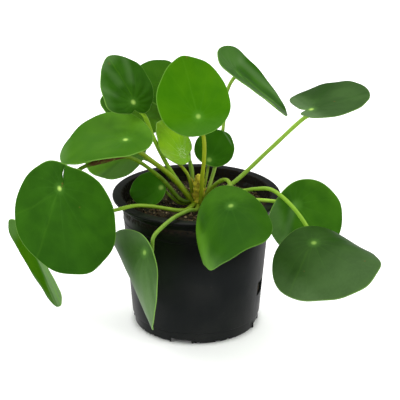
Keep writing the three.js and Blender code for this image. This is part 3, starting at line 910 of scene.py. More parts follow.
def soil_lift(x, y):
    """Height of the soil's lumps over its level at a place, with the waves of the part's source."""
    reach = math.hypot(x, y) / (WALL_TOP_RADIUS - WALL)
    calm = math.sin(math.pi * min(reach, 1))
    lumps = math.sin(0.31 * x + 1) * math.cos(0.27 * y) + 0.6 * math.sin(0.52 * x - 0.47 * y)
    clods = sum(height * noise.noise(Vector((x, y, layer)) / size) for height, size, layer in CLODS)
    return SOIL_BUMP * calm * lumps + clods


def stem_radius(height):
    """Radius of the stem, with its flare, its rings and its taper."""
    taper = TAPER * float(smooth(height, STEM_TOP - TAPER_LENGTH, STEM_TOP))
    rise = height - SOIL_TOP
    ring = STEM_RING * math.cos(FULL_TURN * rise / STEM_RING_STEP) if rise > 0 else 0
    flare = smooth(height, FLARE_START, FLARE_WIDEST) * (1 - smooth(height, FLARE_WIDEST, FLARE_END))
    return STEM_RADIUS + STEM_SKIN - taper + ring + STEM_FLARE * float(flare)


def margin_change(leaf, turn):
    """How far a blade's margin wanders from its plain outline, as a factor on its distance."""
    waves = (high * np.sin(number * turn + times * leaf.phase) for high, number, times in MARGIN_WAVES)
    change = 1 + MARGIN_WOBBLE * sum(waves)
    for middle, half, share in leaf.outline:
        apart = np.remainder(turn - math.radians(middle) + math.pi, FULL_TURN) - math.pi
        change = change + share * np.exp(-((apart / math.radians(half)) ** 2))
    return change


def blade_edge(leaf, turn):
    """Edge of a flat blade at a turn about its middle: 0 is the tip, and pi is the base."""
    length, width = leaf.size
    along = length * (0.5 - leaf.navel_at) + 0.5 * length * np.cos(turn)
    narrow = 1 - leaf.point * (0.5 + 0.5 * np.cos(turn)) ** 3
    across = 0.5 * width * np.sin(turn) * (1 - leaf.egg * np.cos(turn)) * narrow
    change = margin_change(leaf, turn)
    return along * change, (across + leaf.offset) * change


def bent(stretch, curvature):
    """A stretch of a blade bent down by a curvature, with its length kept."""
    least = 1e-6
    curvature = np.where(np.abs(curvature) < least, least, curvature)
    return np.sin(curvature * stretch) / curvature, -(1 - np.cos(curvature * stretch)) / curvature


def swell_and_vein(leaf, along, across, reach):
    """Height of the gentle swells between the veins, and the nearness of a vein from 0 to 1."""
    radius = np.hypot(along, across)
    fan = np.abs(np.arctan2(across, along)) / (1 - VEIN_BEND * reach)
    spacing = math.radians(VEIN_SPACING)
    away = np.abs(fan / spacing - np.round(fan / spacing))
    swell = np.sin(math.pi * away) ** 2 * smooth(radius, *SWELL_START) * (1 - smooth(reach, *SWELL_END))
    vein = np.exp(-((away * spacing * radius / VEIN_WIDTH) ** 2)) * smooth(radius, *VEIN_START)
    return leaf.folds * swell, vein * (1 - VEIN_FADING * reach)


def blade_sheet(leaf, turn, reach):
    """Middle surface of a blade beside its navel, at a turn and at a share of the way to its edge."""
    along, across = (edge * reach for edge in blade_edge(leaf, turn))
    length, width = leaf.size
    x, drop_along = bent(along, np.radians(np.where(along > 0, *leaf.droop)) / length)
    y, drop_across = bent(across, np.radians(np.where(across > 0, *leaf.curl)) / width)
    wave = WAVE_HEIGHT * reach**2 * np.cos(WAVE_NUMBER * turn + leaf.phase)
    waves = (high * np.cos(number * turn + times * leaf.phase) for high, number, times in RIPPLE_WAVES)
    ripple = RIPPLE_HEIGHT * reach**4 * sum(waves)
    dip = NAVEL_DEPTH * np.exp(-((np.hypot(along, across) / NAVEL_RADIUS) ** 2))
    swell, _ = swell_and_vein(leaf, along, across, reach)
    lift = wave + ripple + swell - dip
    return np.stack([x, y, drop_along + drop_across + lift], axis=-1)


def blade_normal(leaf, turn, reach):
    """Direction that a blade's middle surface faces, from its slopes over a small step."""
    step = 0.004
    reach = np.maximum(reach, 2 * step)
    round_edge = blade_sheet(leaf, turn + step, reach) - blade_sheet(leaf, turn - step, reach)
    outward = blade_sheet(leaf, turn, reach + step) - blade_sheet(leaf, turn, reach - step)
    normal = np.cross(outward, round_edge)
    return normal / np.linalg.norm(normal, axis=-1, keepdims=True)


def blade_turns(leaf, reaches):
    """Turns of a blade's columns at each reach. A slit has a column on each of its sides."""
    angle, veer, half = np.radians(leaf.slit or (0, 0, 0))
    reaches = np.reshape(reaches, (-1, 1))
    opening = half * np.sin(math.pi * smooth(reaches, *SLIT_ENDS))
    opening = opening + (SLIT_LEAST_OPENING if leaf.slit else 0)
    middle = -math.pi + angle + veer * (1 - smooth(reaches, 0, SLIT_VEER_END))
    width = BLADE_COLUMNS + 1 if leaf.slit else BLADE_COLUMNS
    return middle + opening + (FULL_TURN - 2 * opening) * np.arange(width) / BLADE_COLUMNS


def blade_faces(rows, width):
    """Faces of a blade: fans round the navel, rows, the rounded edge and the sides of a slit."""
    torn = width > BLADE_COLUMNS
    side_size = 1 + rows * width
    edge = 2 * side_size
    faces = []
    for navel in (0, side_size):
        outer = navel + 1 + (rows - 1) * width
        for column in range(BLADE_COLUMNS):
            after = (column + 1) % width
            faces.append((navel, navel + 1 + column, navel + 1 + after))
            faces.append((outer + column, outer + after, edge + after, edge + column))
        faces += [tuple(navel + 1 + i for i in quad) for quad in net(rows, width, closed=not torn)]
    for column in (0, width - 1) if torn else ():
        chain = [0, *(1 + row * width + column for row in range(rows))]
        for a, b in zip(chain, chain[1:]):
            faces.append((a, b, side_size + b, side_size + a))
        faces.append((chain[-1], edge + column, side_size + chain[-1]))
    return faces


def blade_shape(leaf):
    """Points, faces and kept numbers of a blade: two sides that meet in a rounded edge."""
    edge_turns = blade_turns(leaf, 1)[0]
    width = len(edge_turns)
    edge_flat = np.column_stack([*blade_edge(leaf, edge_turns), np.zeros(width)])
    edge_radius = np.hypot(edge_flat[:, 0], edge_flat[:, 1])
    shares = (np.arange(1, BLADE_RINGS + 1) / BLADE_RINGS) ** RING_CROWDING
    inner = [share * (1 - RIM_INSETS[0] / edge_radius) for share in shares]
    reaches = np.array(inner + [1 - inset / edge_radius for inset in RIM_INSETS[1:]])
    turns = blade_turns(leaf, reaches[:, 0])
    sheet = blade_sheet(leaf, turns, reaches)
    normal = blade_normal(leaf, turns, reaches)
    along, across = (edge * reaches for edge in blade_edge(leaf, turns))
    inset = (1 - reaches) * edge_radius
    _, vein = swell_and_vein(leaf, along, across, reaches)
    near_rim = np.clip(1 - inset / RIM_ROUNDING, 0, 1)
    half = 0.5 * BLADE_THICKNESS * np.sqrt(1 - near_rim**2)
    centre = blade_sheet(leaf, np.zeros(1), np.zeros(1))[0]
    points, places, kept = [], [], []
    for side, upper in ((1, 1), (-1, 0)):
        face = sheet + side * (half - side * VEIN_DEPTH * vein)[..., None] * normal
        points += [centre + [0, 0, side * 0.5 * BLADE_THICKNESS], *face.reshape(-1, 3)]
        places += [(0, 0, 0), *np.stack([along, across, 0 * along], -1).reshape(-1, 3)]
        kept += [(0, edge_radius.mean(), upper)]
        kept += [*np.stack([reaches, inset, np.full_like(inset, upper)], -1).reshape(-1, 3)]
    points += [*blade_sheet(leaf, edge_turns, np.ones(width))]
    places += [*edge_flat]
    kept += [(1, 0, 0.5)] * width
    faces = blade_faces(len(reaches), width)
    return in_world(leaf, points), faces, {"blade_place": places, "blade_share": kept}


def stalk_path(leaf):
    """Middle line of a stalk, from its foot in the stem's skin to its top in the blade."""
    down = turned(leaf, [[0, 0, -1]])[0]
    turn, height = leaf.root
    outward = np.array([math.cos(math.radians(turn)), math.sin(math.radians(turn)), 0])
    foot = np.array([STEM_X, 0, height]) + outward * (STEM_RADIUS + GAP)
    first = np.array(leaf.stalk[0], float) - foot
    lean = leaf.stalk_radius * np.linalg.norm(np.cross(first / np.linalg.norm(first), outward))
    foot = foot + outward * lean
    seat = 0.5 * BLADE_THICKNESS + GAP
    neck, top = (np.array(leaf.navel, float) + down * drop for drop in (seat + leaf.neck, seat))
    path, run = curve_points([foot, *leaf.stalk, neck, top], STALK_STEP)
    inside = path[0] - outward * (GAP + ROOT_SINK + ROOT_SINK_LEANING * lean)
    joined = top - down * (GAP + TOP_SINK)
    run = np.concatenate([[-GAP - ROOT_SINK], run, [run[-1] + GAP + TOP_SINK]])
    return np.concatenate([[inside], path, [joined]]), run


def stalk_shape(leaf):
    """Points, faces and kept numbers of a stalk, which is thicker at its foot, scab and top."""
    path, run = stalk_path(leaf)
    length = run[-1]
    swell = STALK_FULLNESS * leaf.full + leaf.swell * (1 - smooth(run, 0, STALK_ROOT_REACH))
    swell += STALK_COLLAR_SWELL * smooth(run, length - STALK_COLLAR_REACH, length)
    if leaf.scab:
        middle, half = np.mean(leaf.scab), np.ptp(leaf.scab) / 2
        swell += SCAB_SWELL * (1 - smooth(np.abs(run / length - middle), half * SCAB_FLAT, half))
    turns = np.linspace(0, FULL_TURN, STALK_SIDES, endpoint=False)
    knobs = 1 + sum(high * np.sin(run / size + times * leaf.phase) for high, size, times in STALK_KNOBS)
    ribs = 1 + sum(high * np.cos(number * turns) for high, number in STALK_RIBS)
    points, faces = tube(path, leaf.stalk_radius * np.outer(swell * knobs, ribs), STALK_SIDES)
    kept = np.repeat(np.column_stack([run / length, run, 0 * run]), STALK_SIDES, axis=0)
    return points, faces, {"stalk_place": kept}


# Where the pot's plastic changes, as radii and heights in metres
SMEAR_RADII = (54 * MM, 53.4 * MM)
SMEAR_HEIGHTS = (84 * MM, 88 * MM)
DUSTY_HEIGHTS = (30 * MM, 0)
# Heights between which the painted shade higher up gives way to the painted floor reflection low down, and
# how far that edge wanders
PAINTED_SHADE_HEIGHTS = (76 * MM, 48 * MM)
PAINTED_SHADE_WANDER = 12 * MM


def pot_finish(settings):
    """Moulded plastic with painted shade up high, a painted floor reflection and dust low down, and soil
    smeared inside the rim.
    """
    finish = Finish(bpy.data.materials.new("pot_plastic"))
    x, y, height = finish.split(finish.place())
    cloud = finish.noise(26, 4)
    grain = finish.noise(1.1, 3)
    specks = finish.noise(3.2, 4).ramp(0.66, 0.74) * cloud.ramp(0.45, 0.7)
    low = height.ramp(*DUSTY_HEIGHTS)
    dust = (cloud.ramp(0.35, 0.8) * 0.16 + low * 0.12 + specks * 0.35) * (grain * 0.8 + 0.4)
    # Painted shade and painted reflection: the plastic is darker higher up, under the leaves, and lighter
    # low down, where the floor would reflect
    painted_shade_fade = (height + (cloud - 0.5) * PAINTED_SHADE_WANDER).ramp(*PAINTED_SHADE_HEIGHTS)
    colour = finish.mix(painted_shade_fade, settings.clean, settings.colour)
    colour = finish.mix(dust * (painted_shade_fade * 0.7 + 0.3), colour, settings.dust)
    inner_wall = ((x * x + y * y) ** 0.5).ramp(*SMEAR_RADII) * height.ramp(*SMEAR_HEIGHTS)
    smear = inner_wall * finish.noise(2.2, 4).ramp(0.34, 0.56)
    colour = finish.mix(smear * 0.9, colour, settings.smear)
    streaks = finish.noise(2.4, 2, (1, 1, 0.06))
    roughness = smear * 0.5 + cloud * 0.12 + streaks * 0.08 + dust * 0.3 + 0.34
    relief = finish.noise(0.7, 2) * 0.25 + finish.noise(9, 2) * 0.75
    return finish.surface(colour, roughness, relief, 0.16, settings.shine)


def soil_finish(settings):
    """Dark compost with drier patches and pale specks."""
    finish = Finish(bpy.data.materials.new("soil_compost"))
    patches = finish.noise(7, 4).ramp(0.35, 0.7)
    grain = finish.noise(1.3, 5).ramp(0.3, 0.75)
    specks = finish.noise(1.6, 2).ramp(0.64, 0.7)
    colour = finish.mix(patches * grain, settings.dark, settings.brown)
    colour = finish.mix(specks * 0.8, colour, settings.pale)
    relief = finish.noise(0.9, 5)
    return finish.surface(colour, relief * 0.1 + 0.86, relief, 0.5, 0.25)


def crumb_finish(settings):
    """Crumbs and fibres, each with its own shade and paleness."""
    finish = Finish(bpy.data.materials.new("soil_crumbs"))
    shade, paleness, _ = finish.attribute("crumb_shade")
    grain = finish.noise(0.8, 4)
    colour = finish.mix(shade * (grain + 0.5), settings.dark, settings.brown)
    colour = finish.mix(paleness * (grain * 0.6 + 0.6), colour, settings.pale)
    return finish.surface(colour, grain * 0.15 + 0.8, grain, 0.3, 0.25)


# Heights in metres between which the stem's bark gives way to its upper skin
BARK_HEIGHTS = (105 * MM, 92 * MM)
BARK_WANDER = 8 * MM


def stem_finish(settings):
    """Yellowish skin over bark, with darker scars."""
    finish = Finish(bpy.data.materials.new("stem_skin"))
    _, _, height = finish.split(finish.place())
    patches = finish.noise(3.0, 4)
    low = (height + patches * BARK_WANDER).ramp(*BARK_HEIGHTS)
    scars = finish.noise(1.6, 3, (1, 1, 2.5)).ramp(0.5, 0.7)
    colour = finish.mix(low, settings.skin, settings.bark)
    colour = finish.mix(scars * 0.35, colour, settings.scar)
    relief = finish.noise(0.9, 3, (1, 1, 3)) * 0.6 + patches * 0.4
    return finish.surface(colour, scars * 0.2 + 0.55, relief, 0.4, 0.35)


def scale_finish(settings):
    """Dry fibrous scales with pale edges."""
    finish = Finish(bpy.data.materials.new("stem_scales"))
    along, edge, _ = finish.attribute("scale_place")
    fibres = finish.noise(0.7, 3, (1, 1, 0.25))
    colour = finish.mix(along * 0.7 + fibres * 0.3, settings.bark, settings.scale)
    colour = finish.mix(abs(edge).ramp(0.7, 1) * 0.3, colour, settings.scale_edge)
    return finish.surface(colour, fibres * 0.2 + 0.6, fibres, 0.2, 0.3)


# Where a stalk's colours change: millimetres from its foot, and shares of its length
STALK_FOOT_FULL = 6
STALK_FOOT_WANDER = 12
STALK_TOP_SHARES = (0.97, 1)
SCAB_FADE = 0.04


def stalk_finish(leaf, settings):
    """Smooth skin, with another colour at the foot, a painted highlight on its upper side, a paler top,
    and a scab.
    """
    finish = Finish(bpy.data.materials.new(leaf.name + "_stalk_skin"))
    share, run, _ = finish.attribute("stalk_place")
    cloud = finish.noise(6, 3)
    streaks = finish.noise(0.8, 2, (0.4, 0.4, 0.4))
    _, _, painted_top_light = finish.split(finish.add("ShaderNodeNewGeometry", {}, {}).outputs["Normal"])
    near_root = (run + cloud * STALK_FOOT_WANDER).ramp(leaf.root_reach, STALK_FOOT_FULL)
    skin = srgb(*leaf.stalk_skin) if leaf.stalk_skin else settings.skin
    root = srgb(*leaf.stalk_root) if leaf.stalk_root else settings.root
    colour = finish.mix(near_root * 0.8, skin, root)
    # Painted highlight: the skin is paler where it faces up, as though lit from above
    colour = finish.mix(painted_top_light.ramp(0.1, 1) * (1 - near_root) * 0.2, colour, settings.pale)
    colour = finish.mix(streaks.ramp(0.55, 0.8) * 0.25, colour, settings.pale)
    colour = finish.mix(share.ramp(*STALK_TOP_SHARES) * 0.5, colour, settings.top)
    roughness = cloud * 0.1 + 0.4
    if leaf.scab:
        start, end = leaf.scab
        scab = share.ramp(start, start + SCAB_FADE) * share.ramp(end, end - SCAB_FADE)
        scab = scab * finish.noise(1.8, 3).ramp(0.2, 0.5)
        colour = finish.mix(scab, colour, settings.scab)
        roughness = roughness + scab * 0.25
    return finish.surface(colour, roughness, streaks, 0.12, 0.22)


# Where a blade's colours change, in millimetres from its navel or from its edge, and how far the
# edges of its patches and streaks wander
VEIN_SKIN = (VEIN_WIDTH * 1.3, 0)
VEIN_SKIN_START = (1, 6)
NAVEL_HALO = (6, 1.5)
NAVEL_DOT = (2.6, 0.5)
MARGIN_INSETS = (0.8, 0.2)
PATCH_WANDER = 8
STREAK_WANDER = 4
STREAK_FADE = 6


def blade_finish(leaf, settings):
    """Leaf skin with veins, patches and streaks that also paint light and shade, a pale margin and navel,
    painted glints and marks.
    """
    finish = Finish(bpy.data.materials.new(leaf.name + "_blade_skin"))
    along, across, _ = finish.attribute("blade_place")
    reach, inset, upper = finish.attribute("blade_share")

    def towards(heading):
        """Distance from the navel along a heading."""
        return along * math.cos(math.radians(heading)) + across * math.sin(math.radians(heading))

    def apart(x, y):
        """Distance from a place on the blade."""
        return ((along - x) ** 2 + (across - y) ** 2) ** 0.5

    radius = (along * along + across * across) ** 0.5
    fan = abs(across.maths("ARCTAN2", across, along)) / (1 - VEIN_BEND * reach)
    away = fan.maths("PINGPONG", fan, math.radians(VEIN_SPACING) / 2) * radius
    vein = away.ramp(*VEIN_SKIN) * radius.ramp(*VEIN_SKIN_START) * (1 - reach * 0.75)
    cloud = finish.noise(17, 3)
    mottle = finish.noise(1.9, 3)
    # Shade scales the tone, on some blades as painted light that lifts a blade lying under others
    dark, light = (tuple(leaf.shade * part for part in colour) for colour in TONES[leaf.tone])
    colour = finish.mix(cloud.ramp(0.3, 0.72) * 0.75 + mottle * 0.25, dark, light)
    # Patches and streaks paint the blade's tone, and also painted sheen and highlights, painted glow and
    # painted shade in valleys
    for paint, heading, start, end, strength in leaf.patches:
        patch = (towards(heading) + (cloud - 0.5) * PATCH_WANDER).ramp(start, end) * strength
        colour = finish.mix(patch * (mottle * 0.5 + 0.75), colour, getattr(settings, paint))
    for paint, heading, offset, half, start, strength in leaf.streaks:
        beside = abs(towards(heading + 90) - offset + (cloud - 0.5) * STREAK_WANDER)
        streak = beside.ramp(half, 0) * towards(heading).ramp(start, start + STREAK_FADE)
        colour = finish.mix(streak * strength, colour, getattr(settings, paint))
    colour = finish.mix(vein * leaf.veining, colour, settings.vein)
    colour = finish.mix(radius.ramp(*NAVEL_HALO) * 0.25, colour, settings.vein)
    colour = finish.mix(1 - upper, colour, settings.under)
    colour = finish.mix(radius.ramp(*NAVEL_DOT) * leaf.dot, colour, settings.navel)
    colour = finish.mix(inset.ramp(*MARGIN_INSETS) * leaf.margin, colour, settings.margin)
    # Glints are painted highlights
    for x, y, size, strength in leaf.painted_glints:
        painted_glint = apart(x, y).ramp(size, 0) * finish.noise(0.9, 2).ramp(0.5, 0.66) * strength
        colour = finish.mix(painted_glint, colour, settings.painted_glint)
    for x, y, size, strength in leaf.marks:
        mark = (apart(x, y) + (mottle - 0.5) * size).ramp(size, size * 0.4) * strength
        colour = finish.mix(mark, colour, settings.mark)
    roughness = cloud * 0.08 + mottle * 0.06 + vein * 0.1 + leaf.roughness
    relief = finish.noise(0.55, 2) * 0.35 + mottle * 0.65
    tint = {"Specular Tint": rgba(BLADE_SHEEN)}
    return finish.surface(colour, roughness, relief, leaf.pucker, leaf.gloss, tint)


def pot_profile():
    """The pot's outline from the middle of its floor, up outside and down inside."""
    lip_bottom = POT_HEIGHT - RIM_THICKNESS
    lip = RIM_RADIUS - LIP_ROUNDING
    inside = COLLAR_RADIUS - WALL
    foot = wall_radius(FOOT_ROUNDING) - FOOT_STEP - FOOT_ROUNDING
    step = wall_radius(FOOT_STEP_HEIGHT)
    ring = [(RING_HEIGHT + side * RING_WIDTH, proud) for side, proud in RING_SECTION]
    return [
        (AXIS_RADIUS, 0),
        (FLAT_RADIUS, 0),
        (foot, 0),
        *arc(foot, FOOT_ROUNDING, FOOT_ROUNDING, -75, 0),
        *((step + out, FOOT_STEP_HEIGHT + up) for out, up in FOOT_STEP_SECTION),
        *((wall_radius(height) + proud, height) for height, proud in ring),
        (wall_radius(COLLAR_BOTTOM - LEDGE), COLLAR_BOTTOM - LEDGE),
        (wall_radius(COLLAR_BOTTOM) + LEDGE / 2, COLLAR_BOTTOM),
        *((COLLAR_RADIUS + out, COLLAR_BOTTOM + up) for out, up in COLLAR_SECTION),
        (COLLAR_RADIUS, lip_bottom - LIP_FILLET),
        (COLLAR_RADIUS + LIP_FILLET, lip_bottom),
        (lip, lip_bottom),
        *arc(lip, lip_bottom + LIP_ROUNDING, LIP_ROUNDING, -70, 0, 4),
        *arc(lip, POT_HEIGHT - LIP_ROUNDING, LIP_ROUNDING, 0, 90),
        *arc(inside + INNER_ROUNDING, POT_HEIGHT - INNER_ROUNDING, INNER_ROUNDING, 90, 180, 4),
        (inside, COLLAR_BOTTOM + COLLAR_BEVEL),
        (wall_radius(COLLAR_BOTTOM) - WALL, COLLAR_BOTTOM - 1),
        (wall_radius(WALL_MIDDLE) - WALL, WALL_MIDDLE),
        (wall_radius(FLOOR) - WALL, FLOOR),
        (AXIS_RADIUS, FLOOR),
    ]


class PILEA_OT_pot(bpy.types.Operator):
    """Makes the moulded pot with its rim, collar, ring, foot and drainage."""

    bl_idname = "pilea.pot"
    bl_label = "Pot"

    def execute(self, context):
        points, faces = lathe(pot_profile(), POT_SEGMENTS)
        plastic = pot_finish(context.scene.pilea_pot)
        pot = make_piece("nursery_pot", points, faces, plastic, "pot", ["pot"])
        cut(pot, self.channel_roofs(), "UNION")
        cut(pot, self.openings(), "DIFFERENCE")
        pot.data.shade_smooth()
        pot.data.set_sharp_from_angle(angle=math.radians(SHARP_ANGLE))
        return {"FINISHED"}

    def channel_roofs(self):
        """The raised floor over the channels."""
        inner, outer = CHANNEL_START - WALL, FOOT_RADIUS - 1
        width, top = CHANNEL_WIDTH + 2 * WALL, CHANNEL_HEIGHT + WALL
        return [radial_box(turn, inner, outer, width, FLOOR_BEDDING, top) for turn in CHANNEL_TURNS]

    def openings(self):
        """Channels with their drain holes, notches, uneven nicks and slots."""
        inner, outer = FOOT_RADIUS - CUT_DEPTH, FOOT_RADIUS + CUT_DEPTH
        shapes = [
            radial_box(turn, CHANNEL_START, outer, CHANNEL_WIDTH, CUT_BOTTOM, CHANNEL_HEIGHT)
            for turn in CHANNEL_TURNS
        ]
        for turn in CHANNEL_TURNS:
            points, faces = lathe([(DRAIN_RADIUS, CUT_BOTTOM), (DRAIN_RADIUS, DRAIN_TOP)], DRAIN_SEGMENTS)
            angle = math.radians(turn)
            centre = [DRAIN_CENTRE * math.cos(angle), DRAIN_CENTRE * math.sin(angle), 0]
            shapes.append((points + centre, faces))
        shapes += [
            radial_box(turn, inner, outer, NOTCH_WIDTH, CUT_BOTTOM, NOTCH_HEIGHT) for turn in NOTCH_TURNS
        ]
        for nick in range(NICKS):
            wander, widening, rise = (much * math.sin(pace * nick) for much, pace in NICK_UNEVENNESS)
            turn = 360 / NICKS * nick + wander
            width, height = NICK_WIDTH * (1 + widening), NICK_HEIGHT * (1 + rise)
            shapes.append(radial_box(turn, FOOT_RADIUS - NICK_DEPTH, outer, width, CUT_BOTTOM, height))
        past_wall = WALL_TOP_RADIUS + CUT_DEPTH
        shapes += [
            radial_box(turn, inner, past_wall, SLOT_WIDTH, SLOT_BOTTOM, SLOT_TOP) for turn in SLOT_TURNS
        ]
        return shapes


class PILEA_OT_soil(bpy.types.Operator):
    """Makes the compost with its lumps, loose crumbs and fibres."""

    bl_idname = "pilea.soil"
    bl_label = "Soil"

    def execute(self, context):
        settings = context.scene.pilea_soil
        self.plug(settings)
        self.loose(settings)
        return {"FINISHED"}

    def plug(self, settings):
        """The compost that fills the pot, with a hole for the stem."""
        bottom = CHANNEL_HEIGHT + WALL + GAP
        hole_bottom = STEM_BOTTOM - GAP
        inwards = np.linspace(soil_radius(SOIL_TOP), STEM_HOLE, SOIL_RINGS)
        profile = [(AXIS_RADIUS, bottom)]
        profile += [(soil_radius(height), height) for height in (bottom, *SOIL_SIDE_HEIGHTS)]
        profile += [(radius, SOIL_TOP) for radius in inwards]
        profile += [(STEM_HOLE, hole_bottom), (AXIS_RADIUS, hole_bottom)]
        points, faces = lathe(profile, SOIL_SEGMENTS)
        for point in points:
            near_stem = 1 - min(math.hypot(point[0], point[1]) / SHIFT_REACH, 1)
            if point[2] > SOIL_TOP - 1:
                point[2] += soil_lift(point[0], point[1])
            point[0] += STEM_X * near_stem
        make_piece("compost", points, faces, soil_finish(settings), "soil", ["soil"])

    def loose(self, settings):
        """The crumbs and then the fibres, as one piece. Each keeps a shade and a paleness."""
        draw = random.Random(CRUMB_SEED)
        lump = bmesh.new()
        bmesh.ops.create_icosphere(lump, subdivisions=2, radius=1)
        ball = np.array([vertex.co for vertex in lump.verts])
        ball_faces = [tuple(vertex.index for vertex in face.verts) for face in lump.faces]
        lump.free()
        points, faces, shades = [], [], []

        def put(shape, shape_faces, shade, paleness):
            start = len(points)
            points.extend(shape)
            faces.extend(tuple(start + i for i in face) for face in shape_faces)
            shades.extend([(shade, paleness, 0)] * len(shape))

        for index in range(settings.crumbs):
            shape, size = self.crumb(draw, ball, index, settings.crumb_size / MM)
            pale = draw.random() < PALE_CRUMBS and size < PALE_CRUMB_SIZE
            put(shape, ball_faces, draw.random(), PALE_CRUMB if pale else 0)
        for index in range(settings.fibres):
            shape, shape_faces = tube(self.fibre(draw), np.full(FIBRE_POINTS, FIBRE_RADIUS), FIBRE_SIDES)
            put(shape, shape_faces, draw.random(), draw.uniform(*FIBRE_PALENESS))
        skin = crumb_finish(settings)
        make_piece("compost_crumbs", points, faces, skin, "soil", attributes={"crumb_shade": shades})

    def spot(self, draw):
        """A place on the soil, clear of the stem and of the pot's wall."""
        inner, outer = CRUMB_RADII
        radius = math.sqrt(draw.uniform(inner**2, outer**2))
        turn = draw.uniform(0, FULL_TURN)
        return radius * math.cos(turn), radius * math.sin(turn)

    def crumb(self, draw, ball, index, largest):
        """A crumb, which is a knobbly, flattened and turned ball, and its size. Most are small."""
        x, y = self.spot(draw)
        size = largest * (CRUMB_LEAST + (1 - CRUMB_LEAST) * draw.random() ** CRUMB_RARENESS)
        seed = Vector((index * 3.7, index * 1.3, 0))
        knobs = [1 + CRUMB_KNOBS * noise.noise(Vector(v) * CRUMB_KNOB_SCALE + seed) for v in ball]
        spin = Matrix.Rotation(draw.uniform(0, CRUMB_SPIN), 3, "Z")
        spin = spin @ Matrix.Rotation(draw.uniform(0, CRUMB_SPIN), 3, "X")
        flatness = np.array([1, draw.uniform(*CRUMB_WIDTHS), draw.uniform(*CRUMB_HEIGHTS)])
        shape = (ball * np.array(knobs)[:, None] * flatness * size) @ np.array(spin).T
        return shape + np.array([x, y, SOIL_TOP + soil_lift(x, y) + CRUMB_LIFT * size]), size

    def fibre(self, draw):
        """The middle line of a fibre that lies on the soil."""
        x, y = self.spot(draw)
        heading = draw.uniform(0, FULL_TURN)
        length = draw.uniform(*FIBRE_LENGTHS)
        sway = draw.uniform(-FIBRE_SWAY, FIBRE_SWAY)
        path = []
        for share in np.linspace(-0.5, 0.5, FIBRE_POINTS):
            turn = heading + sway * share
            px, py = x + length * share * math.cos(turn), y + length * share * math.sin(turn)
            reach = min(FIBRE_REACH / max(math.hypot(px, py), 1), 1)
            lumps = FIBRE_SHARE_OF_LUMPS * soil_lift(px, py)
            height = SOIL_TOP + FIBRE_LIFT + lumps + share * sway
            path.append((px * reach, py * reach, height))
        return np.array(path)


class PILEA_OT_stem(bpy.types.Operator):
    """Makes the short stem with its leaf scars and dry scales."""

    bl_idname = "pilea.stem"
    bl_label = "Stem"

    def execute(self, context):
        settings = context.scene.pilea_stem
        heights = np.arange(STEM_BOTTOM + 1, STEM_TOP - DOME_START, STEM_STEP)
        profile = [(STEM_AXIS_RADIUS, STEM_BOTTOM), (STEM_END_RADIUS, STEM_BOTTOM)]
        profile += [(stem_radius(height), height) for height in heights]
        dome = stem_radius(STEM_TOP - 1) * DOME_SHARE
        profile += arc(DOME_CENTRE, STEM_TOP - DOME_DROP, dome, 20, 85, 4)
        points, faces = lathe(profile, STEM_SEGMENTS)
        for point in points:
            radius = math.hypot(point[0], point[1])
            if radius > 1:
                point[:2] *= 1 + min(self.bumps(point), SCAR_PROUD) / radius
            point[0] += STEM_X
            point[2] = min(point[2], STEM_TOP)
        make_piece("scarred_stem", points, faces, stem_finish(settings), "stem", ["stem"])
        self.scales(settings)
        return {"FINISHED"}

    def bumps(self, point):
        """Height of the stem's rough skin and of the scars that wind round it."""
        turn = math.atan2(point[1], point[0])
        bumps = sum(height * noise.noise(Vector(point) / size) for height, size in STEM_BUMPS)
        for scar in range(SCARS):
            apart = math.remainder(turn - math.radians(GOLDEN_TURN * scar), FULL_TURN) * STEM_RADIUS
            rise = point[2] - (SOIL_TOP + SCAR_START + SCAR_RISE * scar)
            bumps += SCAR_PROUD * math.exp(-((apart / SCAR_WIDTH) ** 2) - (rise / SCAR_HEIGHT) ** 2)
        return bumps

    def scales(self, settings):
        """The dry scales, which are curved sheets that stand off the stem and end in a point."""
        points, faces, kept = [], [], []
        rows, columns = STIPULE_ROWS, STIPULE_COLUMNS
        size = rows * columns
        rim = [*range(columns), *range(2 * columns - 1, size, columns)]
        rim += [*range(size - 2, size - columns - 1, -1), *range(size - 2 * columns, 0, -columns)]
        for scale in STIPULES:
            start = len(points)
            for side in (1, -1):
                for share in np.linspace(0, 1, rows):
                    for edge in np.linspace(-1, 1, columns):
                        points.append(self.scale_point(scale, side, share, edge))
                        kept.append((share, edge, 0))
            for first in (start, start + size):
                faces += [tuple(first + i for i in quad) for quad in net(rows, columns, closed=False)]
            for a, b in zip(rim, rim[1:] + rim[:1]):
                faces.append((start + a, start + b, start + size + b, start + size + a))
        skin = scale_finish(settings)
        make_piece("stem_scales", points, faces, skin, "stem", attributes={"scale_place": kept})

    def scale_point(self, scale, side, share, edge):
        """A point of a scale: share runs to its tip, and edge from -1 to 1 across it."""
        turn, height, length, width = scale
        half = 0.5 * width * (1 - share**1.6) + STIPULE_TIP
        spin = math.radians(turn) + edge * half / STEM_RADIUS
        flare = STIPULE_STAND + STIPULE_FLARE * share**2.2 + STIPULE_RIPPLE * math.sin(5 * edge + turn)
        thickness = STIPULE_THICKNESS * (1 - 0.7 * abs(edge))
        radius = stem_radius(min(height, STEM_TOP - 1)) + flare + side * thickness / 2
        rise = height + length * (share - STIPULE_SAG * abs(edge))
        return STEM_X + radius * math.cos(spin), radius * math.sin(spin), rise


class PILEA_OT_stalks(bpy.types.Operator):
    """Makes the leaf stalks, each from the stem's skin to the underside of its blade."""

    bl_idname = "pilea.stalks"
    bl_label = "Stalks"

    def execute(self, context):
        for leaf in LEAVES:
            node = leaf.name + "_stalk"
            name = node.replace("leaf", "petiole")
            points, faces, kept = stalk_shape(leaf)
            skin = stalk_finish(leaf, context.scene.pilea_stalk)
            make_piece(name, points, faces, skin, "stalk", [node], kept)
        return {"FINISHED"}


